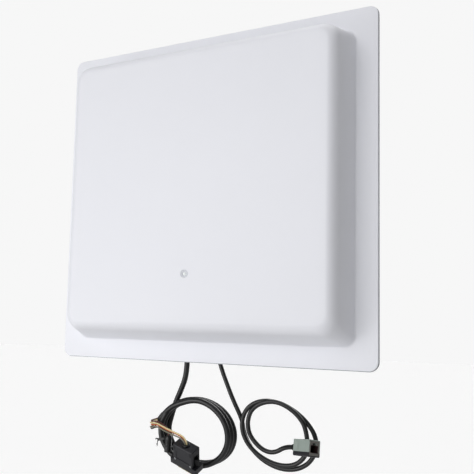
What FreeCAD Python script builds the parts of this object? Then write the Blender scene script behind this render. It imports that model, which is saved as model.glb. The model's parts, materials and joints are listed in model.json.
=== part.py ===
"""Flat square reader antenna panel for a security gate, as an assembly of separate pieces.

Units are millimetres. The origin is the centre of the four rear studs on the back plate's rear face.
+Z is up, +X is to the right seen from the front, and the front looks along -Y.
"""
import FreeCAD
import Part
import math
import os

V = FreeCAD.Vector
os.makedirs("parts", exist_ok=True)

# ---------------------------------------------------------------- driving dimensions
# Back plate and front cover
plate_side = 445.0          # outer side of the square back plate
plate_thickness = 2.0
plate_corner_r = 12.0
plate_overhang = 1.0        # the plate stands out past the cover all round
flange_thickness = 3.0
flange_width = 27.0         # flat border round the raised face
raised_height = 55.0        # raised face above the flange
raised_inset = 15.7         # how far the side walls lean in over that height
raised_corner_r = 14.0      # at the foot of the side walls
raised_top_corner_r = 22.0
raised_edge_r = 16.0        # soft edge round the raised face
raised_foot_r = 2.5         # small hollow where the walls meet the flange
cover_wall = 3.0
seal_width = 4.0
seal_depth = 1.5
seal_from_edge = 12.0       # cover's edge to the middle of the seal

# Fasteners
self_tapper_r = 1.25        # 3 mm class screws
screw_clear_r = 1.7
screw_head_r = 2.9
screw_head_height = 1.8
screw_recess_r = 0.9
screw_recess_depth = 1.0
boss_r = 5.0
boss_height = 18.0
boss_from_wall = 7.5        # inner foot of the wall to a boss's axis
corner_boss_step = 2.0      # extra step inwards in the corners
boss_offset = 70.0          # along each side, from the middle
tapper_length = 14.0

# Rear studs
stud_pitch = 100.0
stud_r = 3.0
stud_length = 20.0
stud_tip_chamfer = 0.8
stud_head_rim = 1.5         # the pressed-in head round the stud
stud_grip_rim = 0.3         # the ribbed neck that grips the plate stands out from the thread by this
stud_head_height = 1.4

# Antenna
reflector_margin = 21.5     # inside the foot of the cover's walls
reflector_thickness = 1.5
reflector_gap = 18.5        # back plate's front to the reflector
reflector_screw_length = 7.0
post_r = 3.0
post_from_edge = 10.0       # reflector's edge to a post's axis
post_bore = 8.0
patch_thickness = 1.5
patch_spacing = 30.0        # free width between two patches
patch_gap = 10.5            # reflector to patch
patch_screw_length = 8.0
spacer_from_edge = 10.0     # patch's edge to a spacer's axis
feed_board_thickness = 1.6
feed_arm_width = 16.0
feed_trace_width = 3.0
feed_trace_thickness = 0.3
feed_point = 40.0           # feed pin from the patch's centre, towards the middle
feed_pin_r = 0.8
coax_r = 1.5
coax_socket_r = 3.0
coax_socket_height = 4.4
coax_play = 0.5
coax_above_light = 40.0

# Reader board
board_width = 150.0
board_height = 84.0
board_thickness = 1.6
board_gap = 6.0             # back plate's front to the board
board_x = -3.0
board_above_light = 22.0    # board's middle above the lamp
board_hole_inset = 6.0
board_screw_length = 5.0

# What stands on the board: X and Z from the board's middle, width, height, how tall
shield_block = (-42.0, 8.0, 46.0, 44.0, 6.0)
shield_wall = 0.5
shield_edge_r = 0.8
chip_blocks = ((27.0, 4.0, 16.0, 16.0, 1.6), (49.0, 4.0, 11.0, 18.0, 1.4), (-42.0, 8.0, 14.0, 14.0, 2.0),
               (47.0, -24.0, 16.0, 12.0, 5.0), (27.0, -16.0, 9.0, 9.0, 1.4))
capacitor_xs = (25.0, 36.0, 47.0)
capacitor_z = 32.0
capacitor_r = 4.0
capacitor_height = 9.0
buzzer_at = (61.0, 28.0)
buzzer_r = 6.0
buzzer_height = 6.0
buzzer_hole_r = 1.2
buzzer_hole_depth = 2.0
plug_width = 18.0
plug_height = 10.0
plug_tall = 9.0

# Status light
light_x = -3.0
light_below_feed = 25.0     # under the lower arm of the antenna's feed
light_pipe_r = 2.2
light_pipe_play = 0.8
light_recess = 0.2          # the pipe's end behind the cover's face
bezel_r = 4.8
bezel_depth = 1.2
led_r = 2.5
led_height = 8.0
led_gap = 0.3

# Cable hood and glands
cable_y = 12.0              # plane in which both cables leave
data_x = -30.0
network_x = 15.5
hood_margin = 23.0          # gland axis to the hood's side
hood_below_board = 13.0     # board's lower edge to the hood's top
hood_height = 49.0
hood_wall = 2.5
hood_edge_r = 4.0
hood_seal = 1.5
hood_flange = 7.0
hood_flange_thickness = 3.0
hood_screw_from_end = (12.0, 8.0)   # from the hood's bottom and top
hood_nut_r = 3.4
hood_nut_height = 2.4
port_height = 19.0          # opening in the back plate behind the hood
port_above_bottom = 32.0    # hood's bottom to the opening's middle
port_margin = 6.0
gland_thread_r = 6.0
gland_wall = 0.8
gland_flange_height = 4.0
gland_flange_rim = 2.4
gland_collar_length = 7.0
gland_collar_rim = 0.5
gland_cap_rim = 2.2
gland_cap_length = 10.0
gland_cap_gap = 0.5
gland_cap_lip = 3.0
gland_cap_edge_r = 1.8
gland_play = 0.1
locknut_height = 4.0
thread_past_nut = 1.5
mouth_clearance = 0.4

# Cables
data_cable_d = 7.5
network_cable_d = 5.8
wire_d = 1.8
wire_fan = 2.1              # how much further apart the wires stand in their fold than in the jacket

# Coils: centre, half axes of the cable's line, tilt, lowest and highest Y
data_coil_centre = V(-13.2, 12.0, -316.0)
data_coil_axes = (48.5, 41.0)
data_coil_tilt = -9.0
data_coil_spread = 2.6
data_coil_y = (0.2, 23.8)
network_coil_centre = V(98.9, 12.0, -303.0)
network_coil_axes = (46.5, 36.3)
network_coil_tilt = -30.0
network_coil_spread = 4.8
network_coil_y = (4.5, 19.5)

# Data connector, in its own frame: X' across, Y' through, Z' towards its cable
dsub_place = FreeCAD.Placement(V(-15.5, -11.5, -352.0), FreeCAD.Rotation(-10, 16, 25))
dsub_flange = (39.1, 12.5, 1.0)
dsub_hood_base = (42.0, 8.0)
dsub_hood_body = (31.0, 33.0)
dsub_hood_thickness = 16.0
dsub_hood_wall = 2.0
dsub_shell_length = 6.0
dsub_shell_width = 25.0
dsub_shell_height = 8.4
dsub_shell_wall = 0.5
dsub_screw_pitch = 33.3
dsub_screw_r = 1.42
dsub_screw_fit = 0.08
dsub_pin_r = 0.6
dsub_pin_pitch = 2.77
dsub_pin_row = 1.42         # each row from the middle
dsub_pin_rows = ((-1, 8), (1, 7))
dsub_corner_r = 2.0
dsub_block_play = 0.2
dsub_block_rear = 4.0       # the insulator's length behind the flange
dsub_hood_edge_r = 1.2
thumb_r = 3.2
thumb_length = 12.0
thumb_float = 0.3
thumb_play = 0.6
thumb_slot = (0.4, 1.2)     # half width and depth
thumb_groove_r = 0.35
thumb_groove_from = 2.0
wire_entry_r = 2.4
wire_entry_ring = 1.2       # the three wires stand on this radius in the hood's entry
wire_entry_depth = 3.0
wire_entry_lead = (9.0, 12.0)   # how far above the hood the near and the far wires turn down

# Network jack, in its own frame: X' out of the socket, Y' across, Z' up
jack_place = FreeCAD.Placement(V(140.5, -14.0, -313.5), FreeCAD.Rotation(-36, -10, -13))
jack_size = (28.0, 17.0, 19.0)
jack_cavity = (15.0, 11.9, 8.6)
jack_cavity_drop = 0.8
jack_edge_r = 1.5
jack_latch = (7.0, 3.0, 2.4)        # depth, half width and height of the latch's notch
jack_shield_thickness = 0.5
jack_shield_margin = 1.2
contact_count = 8
contact_pitch = 1.02
contact_half = 0.2
contact_height = 0.5
contact_from_mouth = 4.0
boot_length = 10.0
boot_lead = 15.0
boot_front_r = 6.0
boot_lip = 0.9

# Power socket on its own pair of wires
power_place = FreeCAD.Placement(V(-44.5, -7.0, -318.0), FreeCAD.Rotation(0, 4, 0))
power_r = 4.6
power_length = 22.0
power_edge_r = 1.2
power_bore = (2.75, 9.0)    # radius and depth
power_pin_r = 1.0
power_pin_short = 1.0
power_wire_offset = 1.3
power_wire_depth = 0.5
power_wire_lead = 7.0

# Twist tie round the data coil
tie_angle = 205.0
tie_thickness = 0.8
tie_width = 3.0
tie_play = (0.6, 0.4)       # across the turns and along Y
tie_end_r = 0.8
tie_end_length = 9.0
tie_end_lean = 0.55
tie_end_from_front = 4.0

# ---------------------------------------------------------------- worked-out levels, along Y
plate_front = -plate_thickness
flange_front = plate_front - flange_thickness
face_front = flange_front - raised_height
bezel_front = face_front + 0.1
reflector_rear = plate_front - reflector_gap
reflector_front = reflector_rear - reflector_thickness
patch_rear = reflector_front - patch_gap
patch_front = patch_rear - patch_thickness
board_rear = plate_front - board_gap
board_front = board_rear - board_thickness
feed_front = reflector_front - feed_board_thickness
trace_front = feed_front - feed_trace_thickness
cover_side = plate_side - 2 * plate_overhang
raised_side = cover_side - 2 * flange_width
cavity_half = raised_side / 2 - cover_wall
stud_head_r = stud_r + stud_head_rim
stud_grip_r = stud_r + stud_grip_rim

# ---------------------------------------------------------------- worked-out places, across the face
reflector_side = 2 * (cavity_half - reflector_margin)
patch_pitch = reflector_side / 2
patch_side = patch_pitch - patch_spacing
light_z = -patch_pitch / 2 - light_below_feed
board_z = light_z + board_above_light
board_low = board_z - board_height / 2
coax_z = light_z + coax_above_light
hood_top = board_low - hood_below_board
hood_bottom = hood_top - hood_height
port_z = hood_bottom + port_above_bottom
hood_x = (data_x + network_x) / 2
hood_half = (network_x - data_x) / 2 + hood_margin
gland_flange_r = gland_thread_r + gland_flange_rim
gland_bore_r = gland_thread_r - gland_wall
gland_flange_low = hood_bottom - gland_flange_height
collar_low = gland_flange_low - gland_collar_length
cap_top = gland_flange_low - gland_cap_gap
mouth_z = cap_top - gland_cap_length
hood_depth = cable_y + gland_flange_r + gland_play + hood_wall
screw_hole_r = dsub_screw_r + dsub_screw_fit
screw_xs = (-dsub_screw_pitch / 2, dsub_screw_pitch / 2)
hood_top_z = dsub_hood_body[1]


# ---------------------------------------------------------------- small helpers
def box(x0, x1, y0, y1, z0, z1):
    return Part.makeBox(x1 - x0, y1 - y0, z1 - z0, V(x0, y0, z0))


def rod_y(x, z, y_front, y_rear, radius):
    """A round rod along Y."""
    return Part.makeCylinder(radius, y_rear - y_front, V(x, y_front, z), V(0, 1, 0))


def rod_z(x, y, z_low, z_high, radius):
    """A round rod along Z."""
    return Part.makeCylinder(radius, z_high - z_low, V(x, y, z_low))


def rounded_wire(half, corner, y):
    """A square outline with round corners, in the plane at y."""
    straight = half - corner
    middle = straight + corner * math.sqrt(0.5)
    side = Part.LineSegment(V(half, y, -straight), V(half, y, straight)).toShape()
    bend = Part.Arc(V(half, y, straight), V(middle, y, middle), V(straight, y, half)).toShape()
    edges = []
    for quarter in range(4):
        for edge in (side, bend):
            edges.append(edge.rotated(V(0, y, 0), V(0, -1, 0), 90 * quarter))
    return Part.Wire(edges)


def slab(half, corner, y_front, y_rear):
    """A square plate with round corners."""
    return Part.Face(rounded_wire(half, corner, y_front)).extrude(V(0, y_rear - y_front, 0))


def ring(outer, inner, y_front, y_rear, x=0.0, z=0.0):
    return rod_y(x, z, y_front, y_rear, outer).cut(rod_y(x, z, y_front, y_rear, inner))


def hexagon_z(x, y, z_low, z_high, radius):
    """A hexagonal nut blank along Z, radius across its corners."""
    points = [V(x + radius * math.cos(math.radians(60 * i)), y + radius * math.sin(math.radians(60 * i)), z_low)
              for i in range(7)]
    return Part.Face(Part.makePolygon(points)).extrude(V(0, 0, z_high - z_low))


def pan_screw(x, z, head_y, towards, length, shank_r=self_tapper_r):
    """A pan-head screw along Y: its head sits on head_y and its shank runs the other way from towards."""
    head = Part.makeCylinder(screw_head_r, screw_head_height, V(x, head_y, z), V(0, towards, 0))
    recess = Part.makeCylinder(screw_recess_r, screw_recess_depth, V(x, head_y + towards * screw_head_height, z),
                               V(0, -towards, 0))
    shank = Part.makeCylinder(shank_r, length, V(x, head_y, z), V(0, -towards, 0))
    return head.cut(recess).fuse(shank).removeSplitter()


def tube(points, diameter, name):
    """A round tube along straight runs joined by tangent arcs, each as large as its two runs allow."""
    edges = []
    radii = []
    last = points[0]
    for before, corner, after in zip(points, points[1:], points[2:]):
        run_in = corner - before
        run_out = after - corner
        turn = run_in.getAngle(run_out)
        reach = 0.45 * min(run_in.Length, run_out.Length)
        radii.append(reach / math.tan(turn / 2))
        start = corner - run_in.normalize() * reach
        end = corner + run_out.normalize() * reach
        inward = (start + end) * 0.5 - corner
        depth = radii[-1] * (1 / math.cos(turn / 2) - 1)
        edges.append(Part.LineSegment(last, start).toShape())
        edges.append(Part.Arc(start, corner + inward.normalize() * depth, end).toShape())
        last = end
    edges.append(Part.LineSegment(last, points[-1]).toShape())
    path = Part.Wire(edges)
    profile = Part.Wire(Part.Circle(points[0], points[1] - points[0], diameter / 2).toShape())
    solid = path.makePipeShell([profile], True, False)
    ideal = math.pi * diameter ** 2 / 4 * path.Length
    print(f"{name}: length {path.Length:.1f}, volume/ideal {solid.Volume / ideal:.4f}, "
          f"radii/diameter {[round(r / diameter, 1) for r in radii]}")
    return solid


def ellipse_prism(centre, axes, tilt, y_front, y_rear):
    """A tilted elliptical disc across Y."""
    major, minor = max(axes), min(axes)
    ellipse = Part.Ellipse(V(0, 0, 0), major, minor)
    face = Part.Face(Part.Wire(ellipse.toShape()))
    face.rotate(V(0, 0, 0), V(1, 0, 0), 90)
    face.rotate(V(0, 0, 0), V(0, 1, 0), -tilt)
    face.translate(V(centre.x, y_front, centre.z))
    return face.extrude(V(0, y_rear - y_front, 0))


def coil_ring(centre, axes, tilt, grow, y_range):
    """The outer shape of a coil: an elliptical ring as wide as its turns."""
    outer = ellipse_prism(centre, [a + grow for a in axes], tilt, *y_range)
    inner = ellipse_prism(centre, [a - grow for a in axes], tilt, y_range[0] - 1, y_range[1] + 1)
    return outer.cut(inner)


def coil_point(centre, axes, tilt, degrees, y):
    """A point on a coil's middle line."""
    a = math.radians(degrees)
    t = math.radians(tilt)
    u, w = axes[0] * math.cos(a), axes[1] * math.sin(a)
    return V(centre.x + u * math.cos(t) - w * math.sin(t), y, centre.z + u * math.sin(t) + w * math.cos(t))


def placed(shape, placement):
    """A piece drawn in its own frame, put where it belongs."""
    copy = shape.copy()
    copy.Placement = placement.multiply(copy.Placement)
    return copy


def save(name, *shapes):
    shape = shapes[0] if len(shapes) == 1 else Part.makeCompound(list(shapes))
    solids = shape.Solids
    if not solids or not shape.isValid():
        raise RuntimeError(f"{name} is not a valid solid")
    if len(solids) == 1:
        shape = solids[0]
    shape.exportStep(f"parts/{name}.step")


# ---------------------------------------------------------------- fastener places
boss_half = cavity_half - boss_from_wall
corner_half = boss_half - corner_boss_step
boss_places = [(sx * corner_half, sz * corner_half) for sx in (-1, 1) for sz in (-1, 1)]
for side in (-1, 1):
    for along in (-boss_offset, boss_offset):
        boss_places.append((side * boss_half, along))
        boss_places.append((along, side * boss_half))

stud_places = [(sx * stud_pitch / 2, sz * stud_pitch / 2) for sx in (-1, 1) for sz in (-1, 1)]
post_offset = reflector_side / 2 - post_from_edge
post_places = [(sx * post_offset, sz * post_offset) for sx in (-1, 1) for sz in (-1, 0, 1)]
patch_places = {"upper_left": (-1, 1), "upper_right": (1, 1), "lower_left": (-1, -1), "lower_right": (1, -1)}
board_holes = [(board_x + sx * (board_width / 2 - board_hole_inset),
                board_z + sz * (board_height / 2 - board_hole_inset)) for sx in (-1, 1) for sz in (-1, 1)]
hood_ear_x = hood_half + hood_flange / 2
hood_ear_z = (hood_bottom + hood_screw_from_end[0], hood_top - hood_screw_from_end[1])
hood_screw_places = [(hood_x + sx * hood_ear_x, z) for sx in (-1, 1) for z in hood_ear_z]
cables = {"data": (data_x, data_cable_d), "network": (network_x, network_cable_d)}
dsub_inner_width = dsub_shell_width - 2 * dsub_shell_wall
dsub_inner_height = dsub_shell_height - 2 * dsub_shell_wall


# ---------------------------------------------------------------- case
def make_back_plate():
    plate = slab(plate_side / 2, plate_corner_r, plate_front, 0)
    holes = [rod_y(x, z, plate_front - 1, 1, stud_grip_r) for x, z in stud_places]
    holes += [rod_y(x, z, plate_front - 1, 1, screw_clear_r) for x, z in boss_places + hood_screw_places]
    holes.append(box(data_x - port_margin, network_x + port_margin, plate_front - 1, 1,
                     port_z - port_height / 2, port_z + port_height / 2))
    return plate.cut(Part.makeCompound(holes))


def raised_block(half, corner, inset, top_corner, y_foot, y_top, edge_r):
    """The raised part of the cover, or the hollow inside it."""
    foot = rounded_wire(half, corner, y_foot)
    top = rounded_wire(half - inset, top_corner, y_top)
    block = Part.makeLoft([foot, top], True, True)
    rim = [e for e in block.Edges if all(abs(v.Point.y - y_top) < 0.01 for v in e.Vertexes)]
    return block.makeFillet(edge_r, rim)


def make_radome_cover():
    flange = slab(cover_side / 2, plate_corner_r - plate_overhang, flange_front, plate_front)
    raised = raised_block(raised_side / 2, raised_corner_r, raised_inset, raised_top_corner_r,
                          flange_front, face_front, raised_edge_r)
    outside = flange.fuse(raised).removeSplitter()
    foot = [e for e in outside.Edges if all(abs(v.Point.y - flange_front) < 0.01 for v in e.Vertexes)
            and max(abs(e.CenterOfMass.x), abs(e.CenterOfMass.z)) < raised_side / 2 + 0.5]
    outside = outside.makeFillet(raised_foot_r, foot)
    hollow = raised_block(cavity_half, raised_corner_r - cover_wall, raised_inset,
                          raised_top_corner_r - cover_wall, flange_front, face_front + cover_wall,
                          raised_edge_r - cover_wall)
    mouth = slab(cavity_half, raised_corner_r - cover_wall, flange_front, plate_front + 1)
    cover = outside.cut(hollow.fuse(mouth))
    bosses = [rod_y(x, z, plate_front - boss_height, plate_front, boss_r) for x, z in boss_places]
    cover = cover.fuse(bosses).removeSplitter()
    middle = cover_side / 2 - seal_from_edge
    corner = plate_corner_r - plate_overhang
    groove = slab(middle + seal_width / 2, corner, plate_front - seal_depth, plate_front + 1).cut(
        slab(middle - seal_width / 2, corner - seal_width, plate_front - seal_depth - 1, plate_front + 2))
    cuts = [rod_y(x, z, plate_front - tapper_length, plate_front + 1, self_tapper_r) for x, z in boss_places]
    cuts.append(groove)
    cuts.append(rod_y(light_x, light_z, face_front - 1, face_front + cover_wall + 1, light_pipe_r))
    cuts.append(rod_y(light_x, light_z, face_front - 1, face_front + bezel_depth, bezel_r))
    return cover.cut(Part.makeCompound(cuts))


def make_perimeter_seal():
    middle = cover_side / 2 - seal_from_edge
    corner = plate_corner_r - plate_overhang
    outer = slab(middle + seal_width / 2, corner, plate_front - seal_depth, plate_front)
    inner = slab(middle - seal_width / 2, corner - seal_width, plate_front - seal_depth - 1, plate_front + 1)
    return outer.cut(inner)


def make_studs():
    studs = []
    for x, z in stud_places:
        shaft = rod_y(x, z, plate_front, stud_length, stud_r)
        tip = [e for e in shaft.Edges if e.Vertexes and abs(e.Vertexes[0].Point.y - stud_length) < 0.01
               and len(e.Vertexes) == 1]
        shaft = shaft.makeChamfer(stud_tip_chamfer, tip[:1])
        neck = rod_y(x, z, plate_front, 0, stud_grip_r)
        head = rod_y(x, z, plate_front - stud_head_height, plate_front, stud_head_r)
        studs.append(shaft.fuse([neck, head]).removeSplitter())
    return studs


save("back_plate", make_back_plate())
save("radome_cover", make_radome_cover())
save("perimeter_seal", make_perimeter_seal())
save("mounting_studs", *make_studs())
save("cover_screws", *[pan_screw(x, z, 0, 1, tapper_length) for x, z in boss_places])


# ---------------------------------------------------------------- antenna
def make_reflector():
    plate = slab(reflector_side / 2, plate_corner_r, reflector_front, reflector_rear)
    holes = [rod_y(x, z, reflector_front - 1, reflector_rear + 1, screw_clear_r) for x, z in post_places]
    holes.append(rod_y(0, coax_z, reflector_front - 1, reflector_rear + 1, coax_r + coax_play))
    holes.append(rod_y(light_x, light_z, reflector_front - 1, reflector_rear + 1, light_pipe_r + light_pipe_play))
    return plate.cut(Part.makeCompound(holes))


def make_feed_board(width, y_front, y_rear):
    """The H-shaped power divider, as a board or as the copper on it."""
    half = width / 2
    arm = patch_pitch / 2
    reach = arm - feed_point + half
    shape = box(-half, half, y_front, y_rear, -arm, arm)
    for z in (-arm, arm):
        shape = shape.fuse(box(-reach, reach, y_front, y_rear, z - half, z + half))
    return shape.removeSplitter()


patch_centre = patch_pitch / 2
spacer_offset = patch_side / 2 - spacer_from_edge
spacer_places = []
pin_places = []
for name, (sx, sz) in patch_places.items():
    x, z = sx * patch_centre, sz * patch_centre
    corners = [(x + dx * spacer_offset, z + dz * spacer_offset) for dx in (-1, 1) for dz in (-1, 1)]
    plate = box(x - patch_side / 2, x + patch_side / 2, patch_front, patch_rear,
                z - patch_side / 2, z + patch_side / 2)
    plate = plate.cut(Part.makeCompound([rod_y(px, pz, patch_front - 1, patch_rear + 1, screw_clear_r)
                                         for px, pz in corners]))
    save(f"patch_{name}", plate)
    spacer_places += corners
    pin_places.append((x - sx * feed_point, z))

save("reflector_plate", make_reflector())
save("reflector_posts", *[ring(post_r, self_tapper_r, reflector_rear, reflector_rear + post_bore, x, z).fuse(
    rod_y(x, z, reflector_rear + post_bore, plate_front, post_r)).removeSplitter() for x, z in post_places])
save("patch_spacers", *[ring(post_r, self_tapper_r, patch_rear, reflector_front, x, z) for x, z in spacer_places])
save("patch_screws", *[pan_screw(x, z, patch_front, -1, patch_screw_length) for x, z in spacer_places])
coax_hole = rod_y(0, coax_z, feed_front - 1, reflector_front + 1, coax_r)
save("feed_board", make_feed_board(feed_arm_width, feed_front, reflector_front).cut(coax_hole))
save("feed_traces", make_feed_board(feed_trace_width, trace_front, feed_front))
save("feed_pins", *[rod_y(x, z, patch_rear, trace_front, feed_pin_r) for x, z in pin_places])
save("coax_jumper", rod_y(0, coax_z, feed_front, board_front, coax_r).fuse(
    rod_y(0, coax_z, board_front - coax_socket_height, board_front, coax_socket_r)).removeSplitter())


# ---------------------------------------------------------------- reader electronics
def on_board(x, z, width, height, tall):
    """A block standing on the board's front side; x and z are taken from the board's middle."""
    x, z = board_x + x, board_z + z
    return box(x - width / 2, x + width / 2, board_front - tall, board_front, z - height / 2, z + height / 2)


def make_reader_board():
    board = box(board_x - board_width / 2, board_x + board_width / 2, board_front, board_rear,
                board_z - board_height / 2, board_z + board_height / 2)
    return board.cut(Part.makeCompound([rod_y(x, z, board_front - 1, board_rear + 1, screw_clear_r)
                                        for x, z in board_holes]))


def make_shield_can():
    x, z, width, height, tall = shield_block
    can = on_board(*shield_block)
    rim = [e for e in can.Edges if all(v.Point.y < board_front - tall + 0.1 for v in e.Vertexes)]
    can = can.makeFillet(shield_edge_r, rim)
    return can.cut(on_board(x, z, width - 2 * shield_wall, height - 2 * shield_wall, tall - shield_wall))


def make_buzzer():
    x, z = board_x + buzzer_at[0], board_z + buzzer_at[1]
    top = board_front - buzzer_height
    body = rod_y(x, z, top, board_front, buzzer_r)
    return body.cut(rod_y(x, z, top - 1, top + buzzer_hole_depth, buzzer_hole_r))


save("reader_board", make_reader_board())
save("board_posts", *[ring(post_r, self_tapper_r, board_rear, plate_front, x, z) for x, z in board_holes])
inner_screws = [pan_screw(x, z, board_front, -1, board_screw_length) for x, z in board_holes]
inner_screws += [pan_screw(x, z, reflector_front, -1, reflector_screw_length) for x, z in post_places]
save("inner_screws", *inner_screws)
save("shield_can", make_shield_can())
save("board_chips", *[on_board(*block) for block in chip_blocks])
save("board_capacitors", *[rod_y(board_x + x, board_z + capacitor_z, board_front - capacitor_height, board_front,
                                 capacitor_r) for x in capacitor_xs])
save("buzzer", make_buzzer())
save("board_plugs", *[on_board(x - board_x, (plug_height - board_height) / 2, plug_width, plug_height, plug_tall)
                      for x, _ in cables.values()])

# status light: a lamp on the board, a light pipe through the reflector and a bezel in the cover
lamp = rod_y(light_x, light_z, board_front - led_height + led_r, board_front, led_r)
lamp = lamp.fuse(Part.makeSphere(led_r, V(light_x, board_front - led_height + led_r, light_z))).removeSplitter()
save("status_lamp", lamp)
pipe_rear = board_front - led_height - led_gap
save("light_pipe", rod_y(light_x, light_z, face_front + light_recess, pipe_rear, light_pipe_r))
save("light_bezel", ring(bezel_r, light_pipe_r, bezel_front, face_front + bezel_depth, light_x, light_z))


# ---------------------------------------------------------------- cable hood and glands
def make_hood():
    left, right = hood_x - hood_half, hood_x + hood_half
    shell = box(left, right, hood_seal, hood_depth, hood_bottom, hood_top)
    back = [e for e in shell.Edges if all(v.Point.y > hood_depth - 0.1 for v in e.Vertexes)]
    shell = shell.makeFillet(hood_edge_r, back)
    ears = box(left - hood_flange, right + hood_flange, hood_seal, hood_seal + hood_flange_thickness,
               hood_bottom, hood_top)
    shell = shell.fuse(ears).removeSplitter()
    hollow = box(left + hood_wall, right - hood_wall, hood_seal - 1, hood_depth - hood_wall,
                 hood_bottom + hood_wall, hood_top - hood_wall)
    cuts = [hollow]
    cuts += [rod_z(x, cable_y, hood_bottom - 1, hood_bottom + hood_wall + 1, gland_thread_r)
             for x, _ in cables.values()]
    cuts += [rod_y(x, z, 0, hood_depth, screw_clear_r) for x, z in hood_screw_places]
    return shell.cut(Part.makeCompound(cuts))


def make_hood_seal():
    left, right = hood_x - hood_half, hood_x + hood_half
    seal = box(left - hood_flange, right + hood_flange, 0, hood_seal, hood_bottom, hood_top)
    cuts = [box(left + hood_wall, right - hood_wall, -1, hood_seal + 1, hood_bottom + hood_wall,
                hood_top - hood_wall)]
    cuts += [rod_y(x, z, -1, hood_seal + 1, screw_clear_r) for x, z in hood_screw_places]
    return seal.cut(Part.makeCompound(cuts))


def make_gland_body(x):
    thread_top = hood_bottom + hood_wall + locknut_height + thread_past_nut
    body = rod_z(x, cable_y, collar_low, gland_flange_low, gland_thread_r + gland_collar_rim)
    body = body.fuse(hexagon_z(x, cable_y, gland_flange_low, hood_bottom, gland_flange_r))
    body = body.fuse(rod_z(x, cable_y, hood_bottom, thread_top, gland_thread_r))
    return body.removeSplitter().cut(rod_z(x, cable_y, collar_low - 1, thread_top + 1, gland_bore_r))


def make_gland_cap(x, diameter):
    cap = rod_z(x, cable_y, mouth_z, cap_top, gland_thread_r + gland_cap_rim)
    mouth_rim = [e for e in cap.Edges if len(e.Vertexes) == 1 and abs(e.Vertexes[0].Point.z - mouth_z) < 0.01]
    cap = cap.makeFillet(gland_cap_edge_r, mouth_rim[:1])
    inner_r = gland_thread_r + gland_collar_rim + gland_play
    cap = cap.cut(rod_z(x, cable_y, mouth_z + gland_cap_lip, cap_top + 1, inner_r))
    return cap.cut(rod_z(x, cable_y, mouth_z - 1, cap_top, diameter / 2 + mouth_clearance))


def make_gland_seal(x, diameter):
    seal = rod_z(x, cable_y, collar_low + 0.2, gland_flange_low, gland_bore_r)
    return seal.cut(rod_z(x, cable_y, collar_low - 1, gland_flange_low + 1, diameter / 2))


def make_locknut(x):
    low = hood_bottom + hood_wall
    nut = hexagon_z(x, cable_y, low, low + locknut_height, gland_flange_r)
    return nut.cut(rod_z(x, cable_y, low - 1, low + locknut_height + 1, gland_thread_r))


save("cable_hood", make_hood())
save("hood_seal", make_hood_seal())
hood_face = hood_seal + hood_flange_thickness
save("hood_screws", *[pan_screw(x, z, hood_face, 1, hood_face - plate_front + hood_nut_height)
                      for x, z in hood_screw_places])
save("hood_nuts", *[ring(hood_nut_r, self_tapper_r, plate_front - hood_nut_height, plate_front, x, z)
                    for x, z in hood_screw_places])
save("gland_bodies", *[make_gland_body(x) for x, _ in cables.values()])
save("gland_caps", *[make_gland_cap(x, d) for x, d in cables.values()])
save("gland_seals", *[make_gland_seal(x, d) for x, d in cables.values()])
save("gland_locknuts", *[make_locknut(x) for x, _ in cables.values()])

# the cables inside the hood, from each gland's mouth to its plug on the reader board
plug_y = board_front - plug_tall / 2
inner_turn = 11.5           # half the height over which a cable crosses the back plate
for name, (x, diameter) in cables.items():
    route = [V(x, cable_y, mouth_z), V(x, cable_y, port_z - inner_turn), V(x, plug_y, port_z + inner_turn),
             V(x, plug_y, board_low)]
    save(f"{name}_inner_cable", tube(route, diameter, f"{name}_inner_cable"))

# ---------------------------------------------------------------- hanging cables
data_grow = data_coil_spread + data_cable_d / 2
network_grow = network_coil_spread + network_cable_d / 2
data_ring = coil_ring(data_coil_centre, data_coil_axes, data_coil_tilt, data_grow, data_coil_y)
network_ring = coil_ring(network_coil_centre, network_coil_axes, network_coil_tilt, network_grow, network_coil_y)

data_route = [V(data_x, cable_y, mouth_z), V(-30.2, 12, -226), V(-32.5, 13, -245), V(-40.5, 15.5, -263),
              V(-49, 18.5, -279)]
network_route = [V(network_x, cable_y, mouth_z), V(16, 12, -217), V(20.8, 12, -231), V(28.2, 12.4, -249),
                 V(37.5, 13, -270), V(50, 14.5, -294)]
data_tail_route = [V(-38, 4, -281.5), V(-51, 4.2, -287.5), V(-64.5, 5.5, -294), V(-77, 7, -300.5)]
boot_rear = jack_place.multVec(V(-jack_size[0] / 2 - boot_length, 0, 0))
boot_approach = jack_place.multVec(V(-jack_size[0] / 2 - boot_length - boot_lead, 0, 0))
network_tail_route = [V(70.5, 9.5, -321), V(82.5, 9.4, -329), V(96, 9.2, -329.5), boot_approach, boot_rear]
save("data_cable", tube(data_route, data_cable_d, "data_cable"))
save("data_coil", data_ring)
save("data_tail", tube(data_tail_route, data_cable_d, "data_tail"))
save("network_cable", tube(network_route, network_cable_d, "network_cable"))
save("network_coil", network_ring)
save("network_tail", tube(network_tail_route, network_cable_d, "network_tail"))


# ---------------------------------------------------------------- data connector
def d_outline(width, height, z):
    """The tapered outline of a D-shaped connector, in its own frame."""
    slope = height * math.tan(math.radians(10))
    half, tall = width / 2, height / 2
    points = [V(-half, -tall, z), V(half, -tall, z), V(half - slope, tall, z), V(-half + slope, tall, z)]
    return Part.Face(Part.makePolygon(points + points[:1]))


def d_block(width, height, z_low, z_high, corner):
    block = d_outline(width, height, z_low).extrude(V(0, 0, z_high - z_low))
    uprights = [e for e in block.Edges if abs(e.Vertexes[0].Point.z - e.Vertexes[1].Point.z) > 0.1]
    return block.makeFillet(corner, uprights)


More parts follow.
